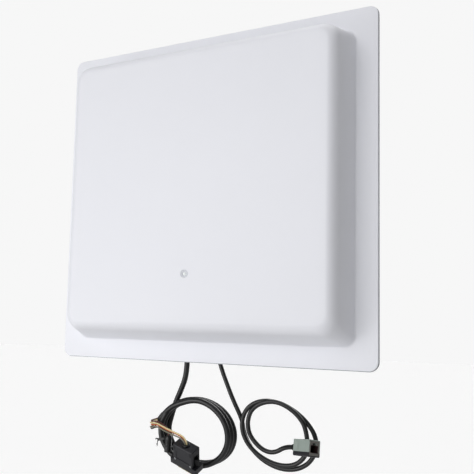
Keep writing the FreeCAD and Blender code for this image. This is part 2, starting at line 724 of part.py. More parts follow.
def make_dsub_shell():
    width, height, thick = dsub_flange
    flange = box(-width / 2, width / 2, -height / 2, height / 2, -thick, 0)
    shell = d_block(dsub_shell_width, dsub_shell_height, -dsub_shell_length, 0, dsub_corner_r)
    inner = d_block(dsub_inner_width, dsub_inner_height, -dsub_shell_length - 1, 1,
                    dsub_corner_r - dsub_shell_wall)
    cuts = [rod_z(x, 0, -thick - 1, 1, screw_hole_r) for x in screw_xs]
    return flange.fuse(shell).removeSplitter().cut(Part.makeCompound([inner] + cuts))


def make_dsub_insulator():
    block = d_block(dsub_inner_width, dsub_inner_height, -dsub_shell_length + dsub_block_play, dsub_block_rear,
                    dsub_corner_r - dsub_shell_wall)
    holes = []
    for side, count in dsub_pin_rows:
        for i in range(count):
            x = (i - (count - 1) / 2) * dsub_pin_pitch
            holes.append(rod_z(x, side * dsub_pin_row, -dsub_shell_length - 1, -1, dsub_pin_r))
    return block.cut(Part.makeCompound(holes))


def make_dsub_hood():
    base_width, base_height = dsub_hood_base
    body_width, body_top = dsub_hood_body
    half_t = dsub_hood_thickness / 2
    base = box(-base_width / 2, base_width / 2, -half_t, half_t, 0, base_height)
    body = box(-body_width / 2, body_width / 2, -half_t, half_t, base_height, body_top)
    hood = base.fuse(body).removeSplitter()
    rim = [e for e in hood.Edges if e.Length > 10 and abs(abs(e.CenterOfMass.y) - half_t) < 0.01
           and e.CenterOfMass.z > 0.1]
    hood = hood.makeFillet(dsub_hood_edge_r, rim)
    wall = dsub_hood_wall
    hollow = box(-body_width / 2 + 3 * wall, body_width / 2 - 3 * wall, -half_t + wall, half_t - wall,
                 dsub_block_rear, body_top - wall)
    seat = d_block(dsub_inner_width + 2 * dsub_block_play, dsub_inner_height + 2 * dsub_block_play, -1,
                   dsub_block_rear + dsub_block_play, dsub_corner_r - dsub_shell_wall)
    cuts = [hollow, seat, rod_z(0, 0, body_top - wall - 1, body_top + 1, wire_entry_r)]
    for x in screw_xs:
        cuts.append(rod_z(x, 0, -1, base_height + 1, screw_hole_r))
        cuts.append(rod_z(x, 0, base_height, base_height + thumb_length + 2, thumb_r + thumb_play))
    return hood.cut(Part.makeCompound(cuts))


def make_thumbscrew(x):
    low = dsub_hood_base[1] + thumb_float
    head = rod_z(x, 0, low, low + thumb_length, thumb_r)
    grooves = [rod_z(x + thumb_r * math.cos(math.radians(a)), thumb_r * math.sin(math.radians(a)),
                     low + thumb_groove_from, low + thumb_length + 1, thumb_groove_r) for a in range(0, 360, 30)]
    half_slot, slot_depth = thumb_slot
    slot = box(x - thumb_r, x + thumb_r, -half_slot, half_slot, low + thumb_length - slot_depth,
               low + thumb_length + 1)
    head = head.cut(Part.makeCompound(grooves + [slot]))
    return head.fuse(rod_z(x, 0, -dsub_shell_length, low, dsub_screw_r)).removeSplitter()


hood_whole = make_dsub_hood()
half_space = box(-60, 60, -30, 0, -20, 60)
save("dsub_hood_front", placed(hood_whole.common(half_space), dsub_place))
save("dsub_hood_rear", placed(hood_whole.cut(half_space), dsub_place))
save("dsub_shell", placed(make_dsub_shell(), dsub_place))
save("dsub_insulator", placed(make_dsub_insulator(), dsub_place))
save("thumbscrew_left", placed(make_thumbscrew(screw_xs[0]), dsub_place))
save("thumbscrew_right", placed(make_thumbscrew(screw_xs[1]), dsub_place))


# ---------------------------------------------------------------- network jack
def make_jack():
    """Housing, shield, contacts and boot, in the jack's own frame."""
    length, width, height = jack_size
    depth, opening_width, opening_height = jack_cavity
    front = length / 2
    body = box(-front, front, -width / 2, width / 2, -height / 2, height / 2)
    body = body.makeFillet(jack_edge_r, [e for e in body.Edges if abs(e.CenterOfMass.x) < 0.1])
    low = -opening_height / 2 - jack_cavity_drop
    high = low + opening_height
    cavity = box(front - depth, front + 1, -opening_width / 2, opening_width / 2, low, high)
    half_y, half_z = width / 2 - jack_shield_margin, height / 2 - jack_shield_margin
    seat = box(front - jack_shield_thickness, front + 1, -half_y, half_y, -half_z, half_z)
    latch_depth, latch_half, latch_height = jack_latch
    latch = box(front - latch_depth, front + 1, -latch_half, latch_half, high, high + latch_height)
    housing = body.cut(Part.makeCompound([cavity, seat, latch]))
    shield = box(front - jack_shield_thickness, front, -half_y, half_y, -half_z, half_z)
    shield = shield.cut(Part.makeCompound([cavity, latch]))
    contacts = []
    for i in range(contact_count):
        y = (i - (contact_count - 1) / 2) * contact_pitch
        contacts.append(box(front - depth, front - contact_from_mouth, y - contact_half, y + contact_half,
                            low, low + contact_height))
    boot = Part.makeCone(network_cable_d / 2 + boot_lip, boot_front_r, boot_length, V(-front - boot_length, 0, 0),
                         V(1, 0, 0))
    return housing, shield, contacts, boot


housing, shield, contacts, boot = make_jack()
save("jack_housing", placed(housing, jack_place))
save("jack_shield", placed(shield, jack_place))
save("jack_contacts", *[placed(c, jack_place) for c in contacts])
save("jack_boot", placed(boot, jack_place))

# ---------------------------------------------------------------- power socket and loose wires
def make_power_socket():
    bore_r, bore_depth = power_bore
    body = rod_z(0, 0, -power_length, 0, power_r)
    top_rim = [e for e in body.Edges if len(e.Vertexes) == 1 and abs(e.Vertexes[0].Point.z) < 0.01]
    body = body.makeFillet(power_edge_r, top_rim[:1])
    body = body.cut(rod_z(0, 0, -power_length - 1, bore_depth - power_length, bore_r))
    pin = rod_z(0, 0, power_pin_short - power_length, bore_depth - power_length, power_pin_r)
    return body.fuse(pin).removeSplitter()


save("power_socket", placed(make_power_socket(), power_place))

jacket_run = (data_tail_route[-1] - data_tail_route[-2]).normalize()
jacket_end = data_tail_route[-1]


def hood_entry(degrees, lead):
    """A wire's way down into the data connector's hood: a point above the entry and one inside it."""
    a = math.radians(degrees)
    x, y = wire_entry_ring * math.cos(a), wire_entry_ring * math.sin(a)
    return [dsub_place.multVec(V(x, y, hood_top_z + lead)),
            dsub_place.multVec(V(x, y, hood_top_z - wire_entry_depth))]


def power_entry(side):
    """A power wire's way down into the top of the power socket."""
    y = side * power_wire_offset
    return [power_place.multVec(V(0, y, power_wire_lead)), power_place.multVec(V(0, y, -power_wire_depth))]


def wire_route(offset_y, offset_z, through, end):
    """Out of the jacket's end, fanned out and folded back over the front of the coil, then on to its end."""
    start = jacket_end + V(0, offset_y, offset_z) - jacket_run
    fan_z = offset_z * wire_fan
    fold = [V(-83, 4.5 + offset_y, -302.5 + fan_z), V(-86, -1 + offset_y, -303.3 + fan_z),
            V(-81, -5.5 + offset_y, -303.6 + fan_z)]
    return [start] + fold + through + end


wires = {
    "wire_yellow": wire_route(-1.2, 1.4, [V(-64, -7, -304), V(-47, -13, -308), V(-31, -23, -309)],
                              hood_entry(30, wire_entry_lead[1])),
    "wire_orange": wire_route(1.2, 0.0, [V(-64, -5, -306.5), V(-47, -11, -310.5), V(-30, -21, -311)],
                              hood_entry(150, wire_entry_lead[0])),
    "wire_grey": wire_route(-1.2, -1.4, [V(-64, -7.6, -308), V(-47, -14, -312), V(-31, -24.5, -312.5)],
                            hood_entry(270, wire_entry_lead[0])),
}
power_wires = [
    wire_route(1.2, 2.5, [V(-66, -4.4, -303), V(-55, -6.6, -304.5)], power_entry(-1)),
    wire_route(1.2, -2.5, [V(-66, -4.4, -310), V(-54, -5.2, -309.6)], power_entry(1)),
]
for name, route in wires.items():
    save(name, tube(route, wire_d, name))
save("power_wires", *[tube(route, wire_d, "power_wires") for route in power_wires])


# ---------------------------------------------------------------- twist tie round the data coil
def make_twist_tie():
    """A flat tie round all turns, with its two twisted ends standing out."""
    half_y = (data_coil_y[1] - data_coil_y[0]) / 2 + tie_play[1]
    half_r = data_grow + tie_play[0]
    thick, wide = tie_thickness, tie_width
    outer = box(-half_r - thick, half_r + thick, -half_y - thick, half_y + thick, -wide / 2, wide / 2)
    band = outer.cut(box(-half_r, half_r, -half_y, half_y, -wide, wide))
    for side in (-1, 1):
        end = Part.makeCylinder(tie_end_r, tie_end_length, V(-half_r - thick / 2, tie_end_from_front - half_y, 0),
                                V(-1, -0.3, side * tie_end_lean))
        band = band.fuse(end)
    return band.removeSplitter()


tie_centre = coil_point(data_coil_centre, data_coil_axes, data_coil_tilt, tie_angle,
                        (data_coil_y[0] + data_coil_y[1]) / 2)
tie_place = FreeCAD.Placement(tie_centre, FreeCAD.Rotation(V(0, 1, 0), 180 - tie_angle - data_coil_tilt))
save("twist_tie", placed(make_twist_tie(), tie_place))

print(len(os.listdir("parts")), "nodes")
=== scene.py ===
"""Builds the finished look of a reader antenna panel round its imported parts: cover, plate, cables, connectors."""

import json
import math

import bmesh
import bpy
from bpy.props import FloatProperty, FloatVectorProperty, IntProperty, PointerProperty
from mathutils import Euler, Matrix, Vector


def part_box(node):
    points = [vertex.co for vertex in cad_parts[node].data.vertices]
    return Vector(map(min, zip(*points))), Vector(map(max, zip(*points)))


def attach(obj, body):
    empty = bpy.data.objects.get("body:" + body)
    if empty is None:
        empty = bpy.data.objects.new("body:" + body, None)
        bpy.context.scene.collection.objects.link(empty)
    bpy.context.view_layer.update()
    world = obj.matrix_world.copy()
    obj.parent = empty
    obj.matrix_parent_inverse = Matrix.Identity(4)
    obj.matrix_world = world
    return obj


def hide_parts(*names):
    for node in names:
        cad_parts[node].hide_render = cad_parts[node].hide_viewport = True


bl_info = {
    "name": "Reader Panel Builder",
    "version": (1, 0, 0),
    "blender": (4, 5, 0),
    "location": "3D View > Sidebar > Reader Panel",
    "description": "Builds a flat reader antenna panel with its cables and connectors on a studio stage",
    "category": "Add Mesh",
}

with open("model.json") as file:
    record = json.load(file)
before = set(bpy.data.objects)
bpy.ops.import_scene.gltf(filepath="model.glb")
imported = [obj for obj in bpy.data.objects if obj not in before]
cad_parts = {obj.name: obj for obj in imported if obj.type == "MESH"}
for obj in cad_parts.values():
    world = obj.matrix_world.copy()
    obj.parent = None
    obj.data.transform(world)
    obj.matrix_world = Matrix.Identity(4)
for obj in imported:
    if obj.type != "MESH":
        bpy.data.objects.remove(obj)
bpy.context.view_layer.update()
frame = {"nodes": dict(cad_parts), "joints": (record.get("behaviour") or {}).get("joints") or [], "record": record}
mounts = {m["name"]: m for m in frame["record"]["mounts"]}
slot_of = {s["node"]: s["material_slot"] for s in frame["record"]["subparts"]}
MM = 0.001


def linear(text):
    """An sRGB hex colour as the linear colour that a shader takes."""
    parts = [int(text[i:i + 2], 16) / 255 for i in (1, 3, 5)]
    return [c / 12.92 if c <= 0.04045 else ((c + 0.055) / 1.055) ** 2.4 for c in parts]


def length(name, description, default):
    return FloatProperty(name=name, description=description, default=default * MM, unit="LENGTH",
                         subtype="DISTANCE", precision=4)


def colour(name, description, default):
    return FloatVectorProperty(name=name, description=description, size=3, subtype="COLOR", min=0, max=1,
                               default=linear(default))


# ---------------------------------------------------------------- sizes and colours that a user would change
class PanelSizes(bpy.types.PropertyGroup):
    """Sizes of the cover and its back plate."""
    wall: length("Wall", "Thickness of the moulded cover", 3.0)
    inset: length("Draft", "How far the cover's side walls lean in", 15.7)
    foot_corner: length("Foot corner", "Corner radius where the walls meet the flange", 14.0)
    top_corner: length("Top corner", "Corner radius at the raised face", 22.0)
    edge: length("Edge", "Radius of the soft edge round the raised face", 16.0)
    foot: length("Foot", "Radius of the hollow where the walls meet the flange", 2.5)
    lip: length("Lip", "Radius of the flange's outer edge", 0.8)
    flange: length("Flange", "Width of the flat border", 27.0)
    plate_corner: length("Plate corner", "Corner radius of the back plate", 12.0)
    corner_steps: IntProperty(name="Corner steps", description="Steps in each round corner", default=16, min=4)


class CableSizes(bpy.types.PropertyGroup):
    """Sizes of the cables and of their coils."""
    data: length("Data cable", "Diameter of the data cable", 7.5)
    network: length("Network cable", "Diameter of the network cable", 5.8)
    wire: length("Wire", "Diameter of a loose wire", 1.8)
    steps: IntProperty(name="Points per turn", description="Control points in each turn of a coil", default=14, min=12)


class Finishes(bpy.types.PropertyGroup):
    """Colours of the surfaces that show most."""
    cover: colour("Cover", "Moulded front cover", "#ECEDF3")
    data: colour("Data cable", "Jacket of the data cable", "#0B0C0E")
    network: colour("Network cable", "Jacket of the network cable", "#0A0B0C")
    yellow: colour("Yellow wire", "Pale yellow wire", "#E3D3A0")
    orange: colour("Orange wire", "Orange-red wire", "#C4683A")
    grey: colour("Grey wire", "Grey-brown wire", "#7B7868")
    jack: colour("Jack", "Upper shell of the network jack", "#98A39C")


# ---------------------------------------------------------------- meshes
def collection_link(obj):
    bpy.context.scene.collection.objects.link(obj)
    return obj


def piece(name, bm, material, body="root", stands_for=(), sharp=35):
    """Makes a piece of a bmesh: smooth but for its sharp edges, riding on its body."""
    bm.normal_update()
    mesh = bpy.data.meshes.new(name)
    bm.to_mesh(mesh)
    bm.free()
    mesh.shade_smooth()
    mesh.set_sharp_from_angle(angle=math.radians(sharp))
    mesh.materials.append(material)
    obj = collection_link(bpy.data.objects.new(name, mesh))
    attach(obj, body)
    if stands_for:
        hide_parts(*stands_for)
    return obj


def soften(obj, width, segments=2, angle=32):
    """Rounds the sharp edges of a finished piece."""
    bevel = obj.modifiers.new("edges", "BEVEL")
    bevel.width = width * MM
    bevel.segments = segments
    bevel.limit_method = "ANGLE"
    bevel.angle_limit = math.radians(angle)
    bevel.use_clamp_overlap = True
    bevel.harden_normals = True
    return obj


def carve(obj, tool, operation="DIFFERENCE"):
    """Takes a tool's shape out of a piece, and removes the tool."""
    mesh = bpy.data.meshes.new("tool")
    bmesh.ops.recalc_face_normals(tool, faces=tool.faces)
    tool.to_mesh(mesh)
    tool.free()
    cutter = collection_link(bpy.data.objects.new("tool", mesh))
    change = obj.modifiers.new("carve", "BOOLEAN")
    change.operation = operation
    change.object = cutter
    change.solver = "EXACT"
    change.use_self = True
    bpy.context.view_layer.update()
    made = bpy.data.meshes.new_from_object(obj.evaluated_get(bpy.context.evaluated_depsgraph_get()))
    obj.modifiers.clear()
    made.name = obj.name
    obj.data = made
    bpy.data.objects.remove(cutter)
    return obj


def stand(obj, place):
    """Moves a piece's mesh from its own frame to its place on the object."""
    obj.data.transform(place)


def block(bm, low, high, matrix=Matrix.Identity(4)):
    """A box between two corners in millimetres, in its own frame."""
    low, high = Vector(low), Vector(high)
    place = Matrix.LocRotScale((low + high) / 2 * MM, None, (high - low) * MM)
    return bmesh.ops.create_cube(bm, size=1, matrix=matrix @ place)["verts"]


def round_edges(bm, edges, radius, segments=4):
    bmesh.ops.bevel(bm, geom=edges, offset=radius * MM, offset_type="OFFSET", segments=segments, profile=0.5,
                    affect="EDGES", material=-1, clamp_overlap=True)


def edges_of(verts, test=lambda e: True):
    return [e for e in {e for v in verts for e in v.link_edges} if test(e)]


def lathe(bm, profile, matrix=Matrix.Identity(4), steps=32, closed=False):
    """Spins a profile of (radius, height) in millimetres round the frame's Z."""
    verts = [bm.verts.new((r * MM, 0, h * MM)) for r, h in profile]
    ends = verts[1:] + (verts[:1] if closed else [])
    edges = [bm.edges.new(pair) for pair in zip(verts, ends)]
    before = set(bm.verts) - set(verts)
    bmesh.ops.spin(bm, geom=verts + edges, axis=(0, 0, 1), cent=(0, 0, 0), angle=math.tau, steps=steps,
                   use_merge=True)
    made = [v for v in bm.verts if v not in before]
    bmesh.ops.remove_doubles(bm, verts=made, dist=0.002 * MM)
    made = [v for v in bm.verts if v not in before]
    bmesh.ops.transform(bm, matrix=matrix, verts=made)
    bmesh.ops.recalc_face_normals(bm, faces=list({f for v in made for f in v.link_faces}))
    return made


def loop(bm, points):
    verts = [bm.verts.new(p) for p in points]
    return [bm.edges.new(pair) for pair in zip(verts, verts[1:] + verts[:1])]


def circle_points(x, y, z, radius, steps=24):
    """A circle across Y, in millimetres."""
    return [Vector((x + radius * math.cos(math.tau * i / steps), y,
                    z + radius * math.sin(math.tau * i / steps))) * MM for i in range(steps)]


def square_points(half, corner, y, steps, half_z=None, centre=(0.0, 0.0)):
    """A rectangle with round corners across Y, in millimetres."""
    half_z = half if half_z is None else half_z
    points = []
    for quarter in range(4):
        side_x = 1 if quarter in (0, 3) else -1
        side_z = 1 if quarter in (0, 1) else -1
        for step in range(steps + 1):
            a = math.radians(90 * (quarter + step / steps))
            points.append(Vector((centre[0] + side_x * (half - corner) + corner * math.cos(a), y,
                                  centre[1] + side_z * (half_z - corner) + corner * math.sin(a))) * MM)
    return points


def rounded_profile(corners, steps=8):
    """A line of (half side, Y, corner radius) points, with each corner rounded by its own radius."""
    out = [Vector(corners[0][:3])]
    for (*a, _), (*b, radius), (*c, _) in zip(corners, corners[1:], corners[2:]):
        b = Vector(b)
        into, on = (b - Vector(a)).normalized(), (Vector(c) - b).normalized()
        turn = into.angle(on)
        if not radius:
            out.append(b)
            continue
        reach = radius * math.tan(turn / 2)
        centre = b - into * reach + (on - into * into.dot(on)).normalized() * radius
        start = b - into * reach - centre
        side = into * radius
        for i in range(steps + 1):
            t = turn * i / steps
            out.append(centre + start * math.cos(t) + side * math.sin(t))
    out.append(Vector(corners[-1][:3]))
    return out


def loft(bm, rings, closed=False):
    """Extrudes the first ring of points through the others, and gives back the edges of the first and the last."""
    first = edges = loop(bm, rings[0])
    verts = [e.verts[0] for e in edges]
    for ring in rings[1:]:
        made = bmesh.ops.extrude_edge_only(bm, edges=edges)["geom"]
        new = {v.co.to_tuple(8): v for v in made if isinstance(v, bmesh.types.BMVert)}
        verts = [new[v.co.to_tuple(8)] for v in verts]
        edges = [e for e in made if isinstance(e, bmesh.types.BMEdge) and all(v in new.values() for v in e.verts)]
        for v, place in zip(verts, ring):
            v.co = place
    if closed:
        bmesh.ops.bridge_loops(bm, edges=edges + first)
    return first, edges


def fill(bm, loops):
    """Closes a flat outline that may have holes."""
    return bmesh.ops.triangle_fill(bm, use_beauty=True, use_dissolve=False, edges=[e for l in loops for e in l])


def frame_of(x, y, z, yaw, pitch, roll):
    """A piece's own frame: its origin in millimetres, and its turns in degrees."""
    turn = Euler([math.radians(a) for a in (roll, pitch, yaw)]).to_matrix().to_4x4()
    return Matrix.Translation(Vector((x, y, z)) * MM) @ turn


# rotations that stand the lathe's axis along Y or X
ALONG_Y = Matrix.Rotation(math.radians(-90), 4, "X")
ALONG_X = Matrix.Rotation(math.radians(90), 4, "Y")


def at(x, y, z, turn=Matrix.Identity(4)):
    return Matrix.Translation(Vector((x, y, z)) * MM) @ turn


# ---------------------------------------------------------------- materials
def add(tree, kind, inputs=None, **settings):
    """Adds a node: settings are its properties, and an input takes a value or another node's output."""
    made = tree.nodes.new("ShaderNode" + kind)
    for name, value in settings.items():
        setattr(made, name, value)
    for name, value in (inputs or {}).items():
        if isinstance(value, bpy.types.NodeSocket):
            tree.links.new(value, made.inputs[name])
        else:
            made.inputs[name].default_value = value
    return made


def shade(rgb, factor):
    return [min(1.0, c * factor) for c in rgb[:3]] + [1.0]


def surface(name, rgb, roughness, metallic=0.0, cloud=60.0, tint=0.04, grain=0.8, relief=0.02, spread=0.06,
            stretch=(1, 1, 1), coat=0.0, **sockets):
    """A material with a faint change of colour and gloss over `cloud` mm, and grain of `grain` mm in its relief."""
    material = bpy.data.materials.new(name)
    material.use_nodes = True
    tree = material.node_tree
    tree.nodes.clear()
    place = add(tree, "TexCoord").outputs["Object"]
    stretched = add(tree, "Mapping", {"Vector": place, "Scale": stretch}).outputs["Vector"]
    clouds = add(tree, "TexNoise", {"Vector": place, "Scale": 1 / (cloud * MM), "Detail": 3.0, "Roughness": 0.55})
    fine = add(tree, "TexNoise", {"Vector": stretched, "Scale": 1 / (grain * MM), "Detail": 4.0, "Roughness": 0.6})
    blend = add(tree, "Mix", {0: clouds.outputs["Fac"], 6: shade(rgb, 1 - tint), 7: shade(rgb, 1 + tint)},
                data_type="RGBA").outputs[2]
    gloss = add(tree, "MapRange", {"Value": fine.outputs["Fac"], "To Min": max(0.02, roughness - spread),
                                   "To Max": min(1.0, roughness + spread)})
    bump = add(tree, "Bump", {"Height": fine.outputs["Fac"], "Strength": 0.6, "Distance": relief * MM})
    shader = add(tree, "BsdfPrincipled", {"Base Color": blend, "Roughness": gloss.outputs["Result"],
                                          "Metallic": metallic, "Normal": bump.outputs["Normal"],
                                          "Coat Weight": coat, **sockets})
    add(tree, "OutputMaterial", {"Surface": shader.outputs["BSDF"]})
    return material


def make_materials(tones):
    """One material per slot of the record, and a few for pieces that the slots don't split."""
    made = {}

    def keep(key, *args, **settings):
        made[key] = surface(key, *args, **settings)

    # moulded ABS with a fine spark-eroded texture: satin, with a faint cloudiness from the flow of the melt
    keep("white_abs", tones.cover, 0.46, cloud=90, tint=0.012, grain=0.9, relief=0.018, IOR=1.54)
    # moulded ABS in black: the same satin texture, which reads as very dark grey with soft highlights
    keep("black_abs", linear("#101017"), 0.48, cloud=20, tint=0.1, grain=0.6, relief=0.015, IOR=1.54)
    # rolled aluminium sheet: long faint lines along the rolling direction
    keep("sheet_aluminium", linear("#94979B"), 0.46, 1.0, cloud=50, tint=0.05, grain=0.5, relief=0.01,
         stretch=(1, 1, 0.03))
    # thin bright-rolled sheet: shinier than the plate, with its lines running the other way
    keep("patch_aluminium", linear("#B9BBBE"), 0.34, 1.0, cloud=40, tint=0.04, grain=0.5, relief=0.01,
         stretch=(0.03, 1, 1))
    # silicone cord: matt, slightly powdery
    keep("silicone", linear("#707274"), 0.72, cloud=12, grain=0.4, relief=0.02, IOR=1.41)
    # zinc-plated steel: bluish, with cloudy gloss
    keep("zinc_steel", linear("#B4B8BE"), 0.3, 1.0, cloud=5, tint=0.1, grain=0.5, relief=0.01, spread=0.1)
    # plain steel: small bright heads, a little duller than the zinc
    keep("screw_steel", linear("#A7A9AB"), 0.32, 1.0, cloud=3, tint=0.1, grain=0.4, relief=0.01, spread=0.1)
    # turned brass: warm yellow with a clean shine
    keep("brass_posts", linear("#C9A452"), 0.3, 1.0, cloud=4, tint=0.08, grain=0.3, relief=0.01)
    # natural nylon: milky, slightly see-through
    keep("nylon", linear("#E6E3D6"), 0.45, cloud=6, grain=0.4, relief=0.01, IOR=1.53)
    # solder-masked glass-fibre board: glossy green over a fine weave
    keep("circuit_board", linear("#12502C"), 0.28, cloud=8, tint=0.2, grain=0.6, relief=0.03, IOR=1.5)
    # bare copper: warm and glossy, slightly uneven where it has been handled
    keep("copper", linear("#C98560"), 0.28, 1.0, cloud=6, tint=0.1, grain=0.3, relief=0.01)
    # tinned sheet: soft grey, with small crystals
    keep("tin_plate", linear("#8F8C88"), 0.4, 1.0, cloud=3, tint=0.12, grain=0.5, relief=0.015, spread=0.1)
    # moulded epoxy: flat near-black
    keep("chip_epoxy", linear("#1A1A1C"), 0.55, cloud=4, grain=0.2, relief=0.02)
    # drawn aluminium can: smooth and bright
    keep("capacitor_can", linear("#9FA2AA"), 0.3, 1.0, cloud=4, grain=0.3, relief=0.005)
    # clear acrylic light guide
    keep("light_acrylic", linear("#F4F8F8"), 0.12, cloud=5, tint=0.01, grain=0.5, relief=0.005, spread=0.03, IOR=1.49)
    # moulded nylon: slightly glossier than the ABS, so the glands stand out from the hood
    keep("black_nylon", linear("#1D1D1F"), 0.4, cloud=8, tint=0.1, grain=0.4, relief=0.02, IOR=1.53)
    # moulded PBT: even, dark and half glossy
    keep("black_pbt", linear("#18181A"), 0.4, cloud=5, grain=0.3, relief=0.01)
    # soft PVC, extruded: slightly greasy shine, with fine lines along the jacket
    keep("black_pvc", linear("#121213"), 0.42, cloud=12, tint=0.12, grain=0.5, relief=0.008, IOR=1.53)
    keep("data_jacket", tones.data, 0.38, cloud=30, tint=0.15, grain=1.2, relief=0.006, IOR=1.53)
    keep("network_jacket", tones.network, 0.36, cloud=30, tint=0.15, grain=1.2, relief=0.005, IOR=1.53)
    # coloured PVC on thin wires: clean colour with a soft line of light along it
    keep("yellow_pvc", tones.yellow, 0.3, cloud=6, grain=0.4, relief=0.01, IOR=1.53)
    keep("orange_pvc", tones.orange, 0.3, cloud=6, grain=0.4, relief=0.01, IOR=1.53)
    keep("grey_pvc", tones.grey, 0.32, cloud=6, grain=0.4, relief=0.01, IOR=1.53)
    keep("red_pvc", linear("#5A2019"), 0.32, cloud=6, grain=0.4, relief=0.01, IOR=1.53)
    # yellow-passivated zinc: pale straw with a faint rainbow haze
    keep("yellow_zinc_steel", linear("#C9BE86"), 0.3, 1.0, cloud=3, tint=0.16, grain=0.4, relief=0.01)
    # black nickel on steel: dark, with metallic glints on the knurl
    keep("black_nickel_steel", linear("#2A2A2B"), 0.34, 0.9, cloud=3, tint=0.1, grain=0.3, relief=0.01)
    # moulded ABS in grey-green: smooth, a little glossier than the cover
    keep("jack_plastic", tones.jack, 0.32, cloud=10, tint=0.05, grain=0.5, relief=0.015, IOR=1.54)
    # gold flash on spring wire: small warm glints in the dark mouth
    keep("gold_contacts", linear("#D8B15C"), 0.25, 1.0, cloud=2, grain=0.2, relief=0.003)
    # painted shade inside the mouth: a very dark red-brown that takes no highlight, on a box laid in the jack's cavity
    keep("painted_shade_material", linear("#2B1414"), 0.6, cloud=4, grain=0.4, relief=0.02)
    return made


materials = {}


# ---------------------------------------------------------------- stage: camera, light and floor
camera_place = (0.26445, -0.59597, -0.16546)
camera_turns = (20.305, 4.209, 1.208)      # left, up and roll, in degrees
camera_lens = 37.22
camera_shift_up = 0.0998
sun_lights = {                              # direction to the light, strength, angular size in degrees
    "key": ((-0.40, -0.90, 0.14), 1.64, 45),
    "top": ((0.05, 0.12, 1.0), 1.1, 60),
    "back": ((0.05, 0.95, 0.30), 1.5, 50),
}
low_fill_place = (-0.7, -0.75, -0.45)        # a soft box low on the left
low_fill_power = 2.1
floor_level = -1.3
floor_side = 30.0
backdrop_strength = 0.93
floor_glow = 0.39
room_strength = 0.2


class READER_OT_stage(bpy.types.Operator):
    """Makes the camera, the soft studio light and the pale floor"""
    bl_idname = "reader.stage"
    bl_label = "Stage"

    def execute(self, context):
        scene = context.scene
        camera = bpy.data.cameras.new("camera")
        camera.lens = camera_lens
        camera.sensor_width = 36.0
        camera.shift_y = camera_shift_up
        camera.clip_start = 0.01
        holder = collection_link(bpy.data.objects.new("camera", camera))
        left, up, roll = [math.radians(a) for a in camera_turns]
        turn = (Matrix.Rotation(left, 4, "Z") @ Matrix.Rotation(math.pi / 2 + up, 4, "X")
                @ Matrix.Rotation(roll, 4, "Z"))
        holder.matrix_world = Matrix.Translation(camera_place) @ turn
        scene.camera = holder
        for name, (towards, strength, size) in sun_lights.items():
            light = bpy.data.lights.new(name, "SUN")
            light.energy = strength
            light.angle = math.radians(size)
            lamp = collection_link(bpy.data.objects.new(name, light))
            lamp.rotation_mode = "QUATERNION"
            lamp.rotation_quaternion = Vector(towards).to_track_quat("Z", "Y")
            lamp.location = Vector(towards) * 3
        light = bpy.data.lights.new("low_fill", "AREA")
        light.energy = low_fill_power
        light.size = 0.5
        lamp = collection_link(bpy.data.objects.new("low_fill", light))
        lamp.location = low_fill_place
        lamp.rotation_mode = "QUATERNION"
        lamp.rotation_quaternion = Vector(low_fill_place).to_track_quat("Z", "Y")
        scene.view_settings.view_transform = "Standard"
        scene.view_settings.look = "None"
        world = bpy.data.worlds.new("studio")
        scene.world = world
        world.use_nodes = True
        tree = world.node_tree
        tree.nodes.clear()
        # the white backdrop is brighter than the light that the room gives back
        lit = add(tree, "Background", {"Color": (1, 1, 1, 1), "Strength": room_strength})
        seen = add(tree, "Background", {"Color": (1, 1, 1, 1), "Strength": backdrop_strength})
        which = add(tree, "MixShader", {0: add(tree, "LightPath").outputs["Is Camera Ray"],
                                        1: lit.outputs[0], 2: seen.outputs[0]})
        add(tree, "OutputWorld", {"Surface": which.outputs[0]})
        bm = bmesh.new()
        bmesh.ops.create_grid(bm, x_segments=8, y_segments=8, size=floor_side / 2,
                              matrix=Matrix.Translation((0, 0, floor_level)))
        mesh = bpy.data.meshes.new("floor")
        bm.to_mesh(mesh)
        bm.free()
        floor = collection_link(bpy.data.objects.new("floor", mesh))
        # matt studio paper: as bright to the eye as the backdrop, so that they meet without a line
        paper = surface("studio_paper", linear("#DADADA"), 0.9, cloud=400, tint=0.004, grain=2, relief=0.02,
                        **{"Specular IOR Level": 0.0})
        tree = paper.node_tree
        shader = tree.nodes["Principled BSDF"]
        glow = add(tree, "Emission", {"Color": (1, 1, 1, 1), "Strength": floor_glow})
        nothing = add(tree, "Emission", {"Strength": 0.0})
        seen = add(tree, "MixShader", {0: add(tree, "LightPath").outputs["Is Camera Ray"], 1: nothing.outputs[0],
                                       2: glow.outputs[0]})
        both = add(tree, "AddShader", {0: shader.outputs[0], 1: seen.outputs[0]})
        tree.links.new(both.outputs[0], tree.nodes["Material Output"].inputs["Surface"])
        mesh.materials.append(paper)
        return {"FINISHED"}


# ---------------------------------------------------------------- cables
# routes in metres: the points that the panel's source gives its tubes
data_route = [(-0.030, 0.012, -0.2065), (-0.0302, 0.012, -0.226), (-0.0325, 0.013, -0.245),
              (-0.0405, 0.0155, -0.263), (-0.049, 0.0185, -0.279)]
data_tail = [(-0.043, 0.0042, -0.2805), (-0.0525, 0.005, -0.287), (-0.0605, 0.006, -0.295),
             (-0.0672, 0.007, -0.303)]
network_route = [(0.0155, 0.012, -0.2065), (0.016, 0.012, -0.217), (0.0208, 0.012, -0.231),
                 (0.0282, 0.0124, -0.249), (0.0375, 0.013, -0.270), (0.050, 0.0145, -0.294)]
network_tail = [(0.0705, 0.0095, -0.321), (0.0825, 0.0094, -0.329), (0.096, 0.0092, -0.3295),
                (0.10943, 0.00858, -0.32027), (0.12138, -0.00011, -0.31767)]
hood_entries = {"yellow": ((-0.0066, -0.0318, -0.3128), (-0.0092, -0.0249, -0.3259)),
                "orange": ((-0.0091, -0.0301, -0.3149), (-0.0111, -0.0246, -0.3253)),
                "grey": ((-0.0086, -0.0318, -0.3159), (-0.0107, -0.0263, -0.3264))}
